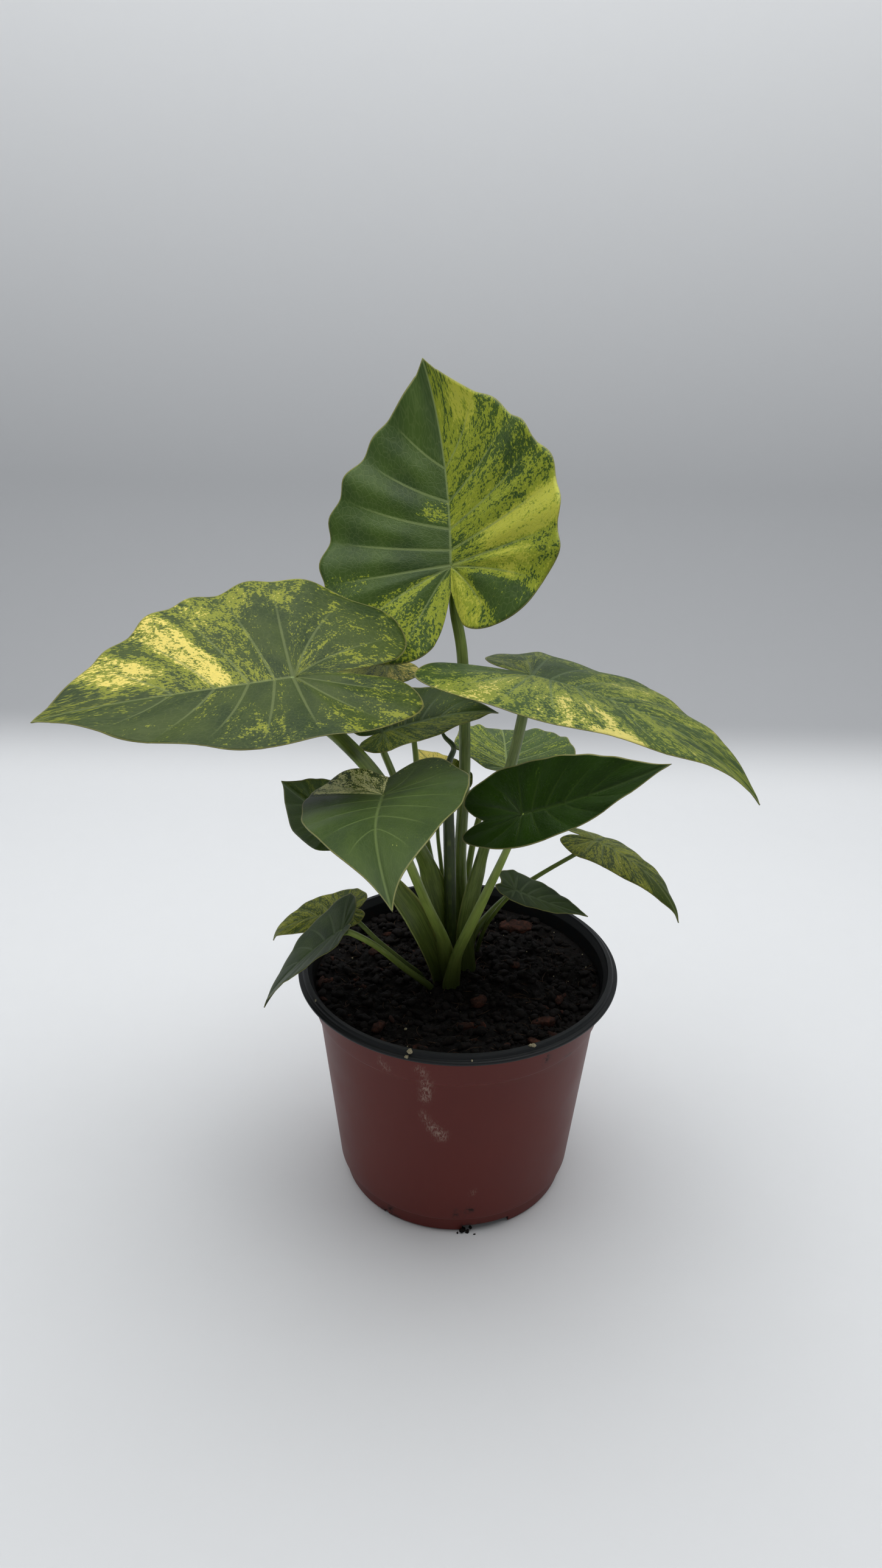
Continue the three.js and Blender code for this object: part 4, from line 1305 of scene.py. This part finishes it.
@dataclass
class Pot:
    """The two-tone nursery pot: red-brown outside, black liner and rim."""

    rim_radius: float
    height: float
    base_radius: float = 54.3
    wall: float = 1.2
    flange: float = 5.3
    flange_depth: float = 3.8
    band: float = 15.6
    band_taper: float = 2.2
    ledge: float = 1.6
    foot: float = 8.0
    foot_step: float = 2.0
    channel_width: float = 23.0
    channel_height: float = 3.5
    channel_start: float = 12.0
    channels: int = 3
    first_channel: float = -72.5
    drain_radius: float = 4.0
    slot_size: tuple[float, float, float] = (6.0, 2.4, 2.0)
    slot_turn: float = -52.5
    around: int = 216
    scuffs: tuple[Scuff, ...] = (
        Scuff((-102.6, 76), (-98.5, 69), 1.3, 0.8), Scuff((-98.5, 69), (-94.5, 64), 2.0),
        Scuff((-100.6, 97), (-101.2, 86), 1.9), Scuff((-103.5, 105), (-100.8, 101), 1.1, 0.8),
        Scuff((-118, 103), (-115.5, 99), 1.2, 0.7), Scuff((-81, 28), (-80, 27), 1.0, 0.5),
    )
    stains: tuple[Scuff, ...] = (
        Scuff((-54.6, 104), (-54.6, 101), 1.3), Scuff((-88, 14.5), (-87.6, 12), 1.3),
        Scuff((-83, 15), (-80.5, 16), 1.4), Scuff((-123, 3), (-122, 5), 1.6, 0.9),
        Scuff((-84, 2.6), (-76, 1.5), 2.0, 0.9), Scuff((-45, 96), (-41, 97), 1.5, 0.5),
        Scuff((-112.4, 63), (-112.4, 62), 0.5), Scuff((-128, 2), (-118, 1), 1.2, 0.8),
    )

    @property
    def band_top(self) -> tuple[float, float]:
        """Radius and height where the band meets the rim."""
        return self.rim_radius - self.flange, self.height - self.flange_depth

    def outer(self) -> list[tuple[float, float]]:
        """Draw the outside, from the middle of the base to the rim.

        Returns:
            Radius and height of each corner.
        """
        r, z = self.band_top
        low = (r - self.band_taper, z - self.band)
        foot = (self.base_radius + 0.7, self.foot)
        rim = [(4.7, 0), (5.3, 0.6), (5.3, 1.5), (4.7, 2), (3.5, 2.1), (3.2, 3.2), (2.6, 3.8)]
        return [
            (0, 0), (self.base_radius - 0.8, 0), (self.base_radius, 0.8), foot,
            (foot[0] + self.foot_step, foot[1] + 0.9 * self.foot_step),
            (low[0] - self.ledge, low[1] - self.ledge), low, (r, z),
            *((r + x, z + y) for x, y in rim),
        ]

    def inner(self) -> list[tuple[float, float]]:
        """Draw the inside, from the lip down to the middle of the floor.

        Returns:
            Radius and height of each corner.
        """
        t = self.wall
        lip = self.band_top[0] + self.flange - 4.4
        walls = [(r - t, z + 0.3 * t) for r, z in reversed(self.outer()[3:8])]
        return [(lip, self.height), (lip - 0.4, self.height - 0.8), *walls,
                (self.base_radius - t, t), (0, t)]

    def rounded(self, profile: list[tuple[float, float]], radius: float, step: float) -> np.ndarray:
        """Round a profile's corners and divide its long runs.

        Args:
            profile: Corners.
            radius: How far each corner is cut back, at most.
            step: Longest run.

        Returns:
            The finer profile.
        """
        corners = np.array(profile, float)
        made = [corners[0]]
        for before, here, after in zip(corners, corners[1:], corners[2:]):
            back, on = before - here, after - here
            cut_back = min(radius, 0.42 * np.linalg.norm(back)) * back / np.linalg.norm(back)
            cut_on = min(radius, 0.42 * np.linalg.norm(on)) * on / np.linalg.norm(on)
            for f in (0, 0.25, 0.5, 0.75, 1):
                made.append(here + (1 - f) ** 2 * cut_back + f * f * cut_on)
        made.append(corners[-1])
        fine = [made[0]]
        for a, b in zip(made, made[1:]):
            parts = max(1, math.ceil(np.linalg.norm(b - a) / step))
            fine += [a + (b - a) * (k + 1) / parts for k in range(parts)]
        return np.array(fine)

    def turned(self, profile: np.ndarray) -> Skin:
        """Turn a profile that starts and ends on the axis.

        Args:
            profile: Radius and height of each point.

        Returns:
            The closed mesh.
        """
        angle = 2 * math.pi * np.arange(self.around) / self.around
        rings = [np.stack([r * np.cos(angle), r * np.sin(angle), np.full(self.around, z)], 1)
                 for r, z in profile[1:-1]]
        points, faces = lofted(np.array(rings))
        points[-2], points[-1] = (0, 0, profile[0, 1]), (0, 0, profile[-1, 1])
        return Skin(points, faces)

    def channel(self, turn: float, grow: float, low: float, high: float) -> Skin:
        """Make the block that cuts, or raises, one drain channel.

        Args:
            turn: Azimuth of the channel in degrees.
            grow: How much wider and longer it is on each side.
            low: Its lowest height.
            high: Its highest height.

        Returns:
            The block, with its upper edges eased.
        """
        half = self.channel_width / 2 + grow
        start, end = self.channel_start + self.wall - grow, self.base_radius + 8
        edge = 0.5
        outline = [(-half, low), (half, low), (half, high - edge), (half - edge, high),
                   (edge - half, high), (-half, high - edge)]
        way = np.array([math.cos(turn * DEG), math.sin(turn * DEG), 0])
        side = np.array([-way[1], way[0], 0])
        rings = [[way * x + side * y + np.array([0, 0, z]) for y, z in outline]
                 for x in (start, end)]
        return Skin(*lofted(np.array(rings)))

    def cut(self, pot: bpy.types.Object, tool: Skin, operation: str) -> None:
        """Join a block to the pot, or cut it away.

        Args:
            pot: The pot.
            tool: The block.
            operation: UNION or DIFFERENCE.
        """
        mesh = bpy.data.meshes.new("block")
        mesh.from_pydata((tool.points * MM).tolist(), [], tool.faces)
        block = bpy.data.objects.new("block", mesh)
        bpy.context.scene.collection.objects.link(block)
        change = pot.modifiers.new("cut", "BOOLEAN")
        change.object = block
        change.operation = operation
        change.solver = "EXACT"
        made = bpy.data.meshes.new_from_object(
            pot.evaluated_get(bpy.context.evaluated_depsgraph_get()))
        pot.modifiers.clear()
        pot.data = made
        bpy.data.objects.remove(block)

    def body(self) -> bpy.types.Object:
        """Turn the pot and cut its drain channels, holes and slots.

        Returns:
            The pot.
        """
        outer = self.rounded(self.outer(), 0.35, 3.0)
        inner = self.rounded(self.inner(), 0.35, 3.0)
        pot = self.turned(np.vstack([outer, inner])).build("pot_shell", [])
        hole_at = 0.7 * self.base_radius
        turns = [self.first_channel + 360 / self.channels * k for k in range(self.channels)]
        for turn in turns:
            way = np.array([math.cos(turn * DEG), math.sin(turn * DEG), 0])
            angle = np.arange(32) * 2 * math.pi / 32
            disc = np.stack([np.cos(angle), np.sin(angle), 0 * angle], 1) * self.drain_radius
            drain = [disc + way * hole_at + [0, 0, z] for z in (-5, 12)]
            self.cut(pot, self.channel(turn, 0, -2, self.channel_height), "DIFFERENCE")
            self.cut(pot, Skin(*lofted(np.array(drain))), "DIFFERENCE")
            length, wide, high = self.slot_size
            notch = Pot(self.rim_radius, self.height, channel_width=wide,
                        channel_start=self.base_radius - length / 2)
            self.cut(pot, notch.channel(turn + self.slot_turn, 0, -2, high), "DIFFERENCE")
        return pot

    def streak(self, points: np.ndarray, marks: tuple[Scuff, ...]) -> np.ndarray:
        """Measure how deep in a mark each place lies.

        Args:
            points: Places on the pot.
            marks: The marks.

        Returns:
            A number from 0 to 1 for each place.
        """
        azimuth = np.degrees(np.arctan2(points[:, 1], points[:, 0]))
        around = azimuth * DEG * MARK_RADIUS
        total = np.zeros(len(points))
        for mark in marks:
            a = np.array([mark.start[0] * DEG * MARK_RADIUS, mark.start[1]])
            b = np.array([mark.end[0] * DEG * MARK_RADIUS, mark.end[1]])
            place = np.stack([around, points[:, 2]], 1) - a
            share = np.clip(place @ (b - a) / max((b - a) @ (b - a), 1e-6), 0, 1)
            off = np.linalg.norm(place - share[:, None] * (b - a), axis=1)
            total = np.maximum(total, mark.strength * (1 - smooth(off, 0, 2 * mark.half_width)))
        return total

    def make(self) -> list[bpy.types.Object]:
        """Make the pot, with the liner's colour on the inside and the rim.

        Returns:
            The pot.
        """
        pot = self.body()
        mesh = pot.data
        mesh.materials.clear()
        mesh.materials.append(Finish.POT_SKIN.made())
        mesh.materials.append(Finish.POT_LINER.made())
        place = np.zeros(len(mesh.vertices) * 3)
        mesh.vertices.foreach_get("co", place)
        place = place.reshape(-1, 3) / MM
        radius = np.hypot(place[:, 0], place[:, 1])
        profile = np.array(self.outer())
        outside = np.interp(place[:, 2], profile[1:8, 1], profile[1:8, 0])
        inside = (radius < outside - 0.5 * self.wall) & (place[:, 2] > 0.5 * self.wall)
        liner = inside | (place[:, 2] > self.band_top[1] + 0.05)
        for face in mesh.polygons:
            face.material_index = int(all(liner[v] for v in face.vertices))
        wear = np.stack([self.streak(place, self.scuffs), self.streak(place, self.stains),
                         inside * smooth(place[:, 2], self.height, self.height - 12) * 0.8], 1)
        layer = mesh.attributes.new("wear", "FLOAT_VECTOR", "POINT")
        layer.data.foreach_set("vector", wear.astype(np.float32).ravel())
        mesh.shade_smooth()
        mesh.set_sharp_from_angle(angle=38 * DEG)
        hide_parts("pot")
        return [pot]


# ---- soil and what lies on it -----------------------------------------------------------------

@dataclass
class Soil:
    """Peaty soil with crumbs, bark flecks, pale grit and root fibres on it."""

    level: float
    radius: float
    seed: int = 7

    def height(self, x: np.ndarray, y: np.ndarray) -> np.ndarray:
        """Give the soil's smooth height.

        Args:
            x: Places across.
            y: Places in depth.

        Returns:
            The heights.
        """
        r = np.hypot(x, y)
        wave = 0.9 * np.sin(x * 0.21 + 1.3) * np.cos(y * 0.17) + 0.7 * np.sin(y * 0.33 + x * 0.12)
        mound = 1.2 * np.exp(-((r / 26) ** 2))
        return self.level + wave * np.clip((self.radius - r) / 10, 0, 1) + mound

    def lumps(self, points: np.ndarray) -> np.ndarray:
        """Give the lumps that stand on the smooth height.

        Args:
            points: Places.

        Returns:
            The extra height.
        """
        edge = np.clip((self.radius - np.hypot(points[:, 0], points[:, 1])) / 6, 0.25, 1)
        return (1.7 * rough(points, 9, 4) + 1.4 * rough(points + 50, 2.4, 3)) * edge

    def block(self) -> Skin:
        """Build the soil: a lumpy top on a plain block that fills the pot.

        Returns:
            The closed mesh.
        """
        around, rings = 300, 92
        angle = 2 * math.pi * np.arange(around) / around
        share = np.linspace(1, 1 / rings, rings)
        rows = []
        low = node_box("soil")[0][2] + 3.0
        for z, r in ((low, 50.0), (60.0, 59.5), (self.level - 4, self.radius - 0.5)):
            rows.append(np.stack([r * np.cos(angle), r * np.sin(angle), np.full(around, z)], 1))
        for f in share:
            x, y = f * self.radius * np.cos(angle), f * self.radius * np.sin(angle)
            flat = np.stack([x, y, np.zeros(around)], 1)
            flat[:, 2] = self.height(x, y) + self.lumps(flat)
            rows.append(flat)
        return Skin(*lofted(np.array(rows)))

    def scatter(self, rng: np.random.Generator, count: int, rim: float) -> np.ndarray:
        """Choose places on the soil.

        Args:
            rng: Source of the chances.
            count: How many.
            rim: How far they stay from the pot's wall.

        Returns:
            The places.
        """
        r = (self.radius - rim) * np.sqrt(rng.random(count))
        a = 2 * math.pi * rng.random(count)
        flat = np.stack([r * np.cos(a), r * np.sin(a), np.zeros(count)], 1)
        flat[:, 2] = self.height(flat[:, 0], flat[:, 1]) + self.lumps(flat)
        return flat

    def pebbles(self, rng: np.random.Generator, count: int, size: tuple[float, float],
                shape: tuple[float, float, float], sink: float) -> Skin:
        """Scatter broken lumps over the soil.

        Args:
            rng: Source of the chances.
            count: How many.
            size: Smallest and largest radius.
            shape: Stretch along, across and up.
            sink: Share of the radius that is buried.

        Returns:
            All lumps as one mesh.
        """
        ball, facets = lump_form()
        points, faces = [], []
        for k, spot in enumerate(self.scatter(rng, count, 2.0)):
            radius = size[0] + (size[1] - size[0]) * rng.random() ** 2.2
            knobs = 1 + 0.55 * (rng.random(len(ball)) - 0.5)
            form = ball * knobs[:, None] * np.array(shape) * (0.75 + 0.5 * rng.random(3)) * radius
            spin = Matrix.Rotation(rng.random() * FULL_TURN, 3, "Z")
            turn = spin @ Matrix.Rotation((rng.random() - 0.5) * 1.2, 3, "X")
            form = form @ np.array(turn).T
            points.append(form + spot + [0, 0, radius * shape[2] * (1 - sink)])
            faces += [tuple(v + k * len(ball) for v in f) for f in facets]
        return Skin(np.vstack(points), faces)

    def strands(self, rng: np.random.Generator, count: int) -> Skin:
        """Scatter thin bent fibres over the soil.

        Args:
            rng: Source of the chances.
            count: How many.

        Returns:
            All fibres as one mesh.
        """
        points, faces = [], []
        angle = 2 * math.pi * np.arange(5) / 5
        base = 0
        for spot in self.scatter(rng, count, 7.0):
            length, thick = 3 + 8 * rng.random(), 0.09 + 0.13 * rng.random()
            heading, bend = FULL_TURN * rng.random(), 1.6 * (rng.random() - 0.5)
            tilt = 0.5 * rng.random()
            place, rings = spot + [0, 0, 0.2], []
            for step in range(9):
                way = np.array([math.cos(heading), math.sin(heading), tilt * (0.6 - step / 8)])
                side = np.array([-way[1], way[0], 0])
                taper = thick * (1 - 0.6 * abs(step - 4) / 4)
                up = np.cross(way, side)
                rings.append([place + taper * (math.cos(a) * side + math.sin(a) * up)
                              for a in angle])
                place = place + way * length / 8
                heading += bend / 4 + 0.5 * (rng.random() - 0.5)
            tube, sides = lofted(np.array(rings))
            points.append(tube)
            faces += [tuple(v + base for v in f) for f in sides]
            base += len(tube)
        return Skin(np.vstack(points), faces)

    def make(self) -> list[bpy.types.Object]:
        """Make the soil and everything that lies loose on it.

        Returns:
            The pieces.
        """
        rng = np.random.default_rng(self.seed)
        soil = self.block().build("soil_block", [Finish.SOIL.made()])
        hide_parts("soil")
        crumbs = self.pebbles(rng, 1900, (0.4, 2.3), (1.3, 0.9, 0.7), 0.4)
        flecks = self.pebbles(rng, 64, (0.7, 2.6), (1.7, 0.9, 0.45), 0.2)
        grit = self.pebbles(rng, 70, (0.22, 0.6), (1, 1, 0.9), 0.1)
        fibres = self.strands(rng, 420)
        loose = [
            ("soil_crumbs", crumbs, Finish.CRUMB, "soil"),
            ("bark_flecks", flecks, Finish.BARK, "bark"),
            ("pale_grit", grit, Finish.GRIT, "soil"),
            ("root_fibres", fibres, Finish.FIBRE, "soil"),
        ]
        pieces = [soil]
        for name, skin, finish, slot in loose:
            pieces.append(skin.build(name, [finish.made()]))
        return pieces


def lump_form() -> tuple[np.ndarray, list[tuple[int, ...]]]:
    """Give the form that each lump starts from: a twenty-sided ball divided once.

    Returns:
        Its points and its faces.
    """
    golden = (1 + math.sqrt(5)) / 2
    base = [(-1, golden, 0), (1, golden, 0), (-1, -golden, 0), (1, -golden, 0), (0, -1, golden),
            (0, 1, golden), (0, -1, -golden), (0, 1, -golden), (golden, 0, -1), (golden, 0, 1),
            (-golden, 0, -1), (-golden, 0, 1)]
    coarse = [(0, 11, 5), (0, 5, 1), (0, 1, 7), (0, 7, 10), (0, 10, 11), (1, 5, 9), (5, 11, 4),
              (11, 10, 2), (10, 7, 6), (7, 1, 8), (3, 9, 4), (3, 4, 2), (3, 2, 6), (3, 6, 8),
              (3, 8, 9), (4, 9, 5), (2, 4, 11), (6, 2, 10), (8, 6, 7), (9, 8, 1)]
    points = [np.array(p) / math.hypot(1, golden) for p in base]
    halves: dict[tuple[int, int], int] = {}

    def halfway(a: int, b: int) -> int:
        """Give the point halfway along an edge, made once."""
        key = (min(a, b), max(a, b))
        if key not in halves:
            middle = points[a] + points[b]
            halves[key] = len(points)
            points.append(middle / np.linalg.norm(middle))
        return halves[key]

    faces = []
    for a, b, c in coarse:
        ab, bc, ca = halfway(a, b), halfway(b, c), halfway(c, a)
        faces += [(a, ab, ca), (b, bc, ab), (c, ca, bc), (ab, bc, ca)]
    return np.array(points), faces


@dataclass
class BarkChip:
    """One larger bark chip, split and layered, in its frame node's place."""

    number: int

    def make(self) -> list[bpy.types.Object]:
        """Make the chip inside its node's box.

        Returns:
            The piece.
        """
        node = f"bark_chip_{self.number}"
        low, high = node_box(node)
        place = np.array([v.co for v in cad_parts[node].data.vertices]) / MM
        middle = place.mean(0)
        flat = place[:, :2] - middle[:2]
        _, _, axes = np.linalg.svd(flat, full_matrices=False)
        reach = np.abs(flat @ axes.T).max(0)
        deep = (high[2] - low[2]) / 2
        along, around = 26, 20
        angle = 2 * math.pi * np.arange(around) / around
        rings = []
        for k in range(along + 1):
            u = -1 + 2 * k / along
            end = (1 - abs(u) ** 3.5) ** 0.5 if abs(u) < 1 else 0.05
            box = np.sign(np.cos(angle)) * np.abs(np.cos(angle)) ** 0.5
            high_side = np.sign(np.sin(angle)) * np.abs(np.sin(angle)) ** 0.5
            y = reach[1] * 0.9 * box * max(end, 0.12)
            z = deep * 0.62 * high_side * max(end, 0.2)
            x = np.full(around, u * reach[0] * 0.95)
            rings.append(np.stack([x, y, z], 1))
        points, faces = lofted(np.array(rings))
        shift = 31.0 * self.number
        crack = rough(points * [0.35, 1.2, 1.6] + shift, 2.2, 4)
        points = points * (1 + 0.16 * crack)[:, None]
        points[:, 2] += 0.45 * rough(points * [0.5, 1.4, 0] + shift, 1.4, 3)
        turned = points[:, :1] * [*axes[0], 0] + points[:, 1:2] * [*axes[1], 0]
        turned[:, 2] += points[:, 2]
        skin = Skin(turned + [*middle[:2], (low[2] + high[2]) / 2], faces)
        piece = skin.build(f"bark_{self.number}", [Finish.BARK.made()])
        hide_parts(node)
        return [piece]


@dataclass
class RimGrit:
    """Pale crumbs left on the rim and soil at the drain slots."""

    soil: Soil
    places: tuple[tuple[float, float, float, float], ...] = (
        (-105.2, 73.0, 116.2, 1.0), (-105.9, 74.6, 114.4, 0.8), (-62.9, 72.2, 116.3, 1.1),
        (-63.8, 71.6, 116.2, 0.7), (-84.6, 73.9, 114.6, 0.4), (-150, 72.6, 116.2, 0.5),
        (40, 72.4, 116.2, 0.6),
    )
    spilled: tuple[tuple[float, float, float, float], ...] = (
        (-84.5, 54.5, 0.9, 1.4), (-82.2, 55.6, 0.6, 1.0), (-80.5, 54.2, 1.6, 1.1),
        (-87, 56.0, 0.4, 0.6), (-79, 57.4, 0.35, 0.5),
    )

    def lumps(self, rng: np.random.Generator, places: tuple[tuple[float, ...], ...]) -> Skin:
        """Build one broken lump at each place.

        Args:
            rng: Source of the chances.
            places: Azimuth, radius, height and size of each.

        Returns:
            The lumps as one mesh.
        """
        ball, facets = lump_form()
        points, faces = [], []
        for k, (azimuth, radius, height, size) in enumerate(places):
            form = ball * (1 + 0.6 * (rng.random(len(ball)) - 0.5))[:, None]
            form = form * (0.6 + 0.8 * rng.random(3)) * size
            spot = [radius * math.cos(azimuth * DEG), radius * math.sin(azimuth * DEG), height]
            form = form + spot
            form[:, 2] = np.maximum(form[:, 2], 0.02)
            points.append(form)
            faces += [tuple(v + k * len(ball) for v in f) for f in facets]
        return Skin(np.vstack(points), faces)

    def make(self) -> list[bpy.types.Object]:
        """Make the crumbs.

        Returns:
            The pieces.
        """
        rng = np.random.default_rng(3)
        pale = self.lumps(rng, self.places).build("rim_grit", [Finish.GRIT.made()])
        dark = self.lumps(rng, self.spilled).build("drain_crumbs", [Finish.CRUMB.made()])
        return [pale, dark]


# ---- studio -----------------------------------------------------------------------------------

@dataclass
class Studio:
    """The pale sweep, the soft lights and the camera."""

    floor_front: float = -1.6
    wall_at: float = 0.62
    bend: float = 0.22
    wall_top: float = 2.2
    half_wide: float = 2.4
    camera_at: tuple[float, float, float] = (0.0, -0.4736, 0.4277)
    # Pitch down, yaw and roll, in degrees.
    camera_turn: tuple[float, float, float] = (24.96, -1.12, 0.92)
    lens: float = 27.25
    sensor: float = 36.0

    def sweep(self) -> bpy.types.Object:
        """Build the floor that turns up into a wall.

        Returns:
            The sweep.
        """
        line = [(self.floor_front, 0.0), (-0.6, 0.0), (0.0, 0.0), (self.wall_at - self.bend, 0.0)]
        for k in range(1, 25):
            a = k / 24 * math.pi / 2
            line.append((self.wall_at - self.bend * (1 - math.sin(a)),
                         self.bend * (1 - math.cos(a))))
        line += [(self.wall_at, z) for z in (0.6, 1.2, self.wall_top)]
        points, faces = [], []
        columns = 13
        for y, z in line:
            points += [(x, y, z) for x in np.linspace(-self.half_wide, self.half_wide, columns)]
        for i in range(len(line) - 1):
            for j in range(columns - 1):
                a = i * columns + j
                faces.append((a, a + 1, a + columns + 1, a + columns))
        mesh = bpy.data.meshes.new("sweep")
        mesh.from_pydata(points, [], faces)
        mesh.shade_smooth()
        mesh.materials.append(Finish.SWEEP.made())
        made = bpy.data.objects.new("sweep", mesh)
        bpy.context.scene.collection.objects.link(made)
        return made

    def lamp(self, name: str, place: tuple[float, float, float], target: tuple[float, float, float],
             size: tuple[float, float], power: float) -> None:
        """Hang one soft lamp.

        Args:
            name: Name of the lamp.
            place: Where it hangs.
            target: What it points at.
            size: Its width and height.
            power: Its power in watts.
        """
        data = bpy.data.lights.new(name, "AREA")
        data.shape = "RECTANGLE"
        data.size, data.size_y = size
        data.energy = power
        made = bpy.data.objects.new(name, data)
        made.location = place
        made.rotation_euler = (Vector(target) - Vector(place)).to_track_quat("-Z", "Y").to_euler()
        bpy.context.scene.collection.objects.link(made)

    def camera(self) -> None:
        """Place the camera, a little above the plant and looking down."""
        pitch, yaw, roll = (v * DEG for v in self.camera_turn)
        flat = math.cos(pitch)
        ahead = Vector((math.sin(yaw) * flat, math.cos(yaw) * flat, -math.sin(pitch)))
        side = ahead.cross(Vector((0, 0, 1))).normalized()
        up = side.cross(ahead)
        right = side * math.cos(roll) + up * math.sin(roll)
        top = up * math.cos(roll) - side * math.sin(roll)
        data = bpy.data.cameras.new("camera")
        data.lens, data.sensor_width = self.lens, self.sensor
        made = bpy.data.objects.new("camera", data)
        turn = Matrix((right, top, -ahead)).transposed().to_4x4()
        made.matrix_world = Matrix.Translation(self.camera_at) @ turn
        bpy.context.scene.collection.objects.link(made)
        bpy.context.scene.camera = made

    def make(self) -> None:
        """Build the whole studio."""
        self.camera()
        self.sweep()
        self.lamp("roof", (0, 0.1, 1.4), (0, 0.0, 0), (2.0, 1.3), 21)
        self.lamp("back", (0, -0.1, 1.2), (0, 0.62, 0.62), (1.6, 0.6), 4)
        self.lamp("fill", (0.0, -1.5, 0.9), (0, 0, 0.15), (1.6, 1.2), 1)
        world = bpy.data.worlds.new("studio")
        world.use_nodes = True
        sky = world.node_tree.nodes["Background"]
        sky.inputs["Color"].default_value = linear("e6e9ec")
        sky.inputs["Strength"].default_value = 0.2
        bpy.context.scene.world = world
        bpy.context.scene.view_settings.view_transform = "Standard"
        bpy.context.scene.view_settings.look = "None"


def corm() -> bpy.types.Object:
    """Dress the corm, which keeps its frame node.

    Returns:
        The node's object.
    """
    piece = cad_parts["corm"]
    piece.data.materials.clear()
    piece.data.materials.append(Finish.CORM.made())
    return piece


def main() -> None:
    """Build the studio, the pot, the soil and every leaf, and report each piece."""
    logging.basicConfig(level=logging.INFO, format="%(name)s: %(message)s")
    Studio().make()
    pot_high, soil_high = node_box("pot")[1], node_box("soil")[1]
    pot = Pot(rim_radius=pot_high[0], height=pot_high[2])
    soil = Soil(level=pot.height - SOIL_DROP, radius=soil_high[0])
    crown = [Leaf(plan, soil.level, number) for number, plan in enumerate(LEAVES)]
    chips = [BarkChip(number) for number in range(1, 7)]
    for maker in (pot, soil, *chips, RimGrit(soil), Spear(soil.level), *crown):
        for piece in maker.make():
            LOG.info("%s: %d faces", piece.name, len(piece.data.polygons))
    LOG.info("%s dressed", corm().name)


if __name__ == "__main__":
    main()
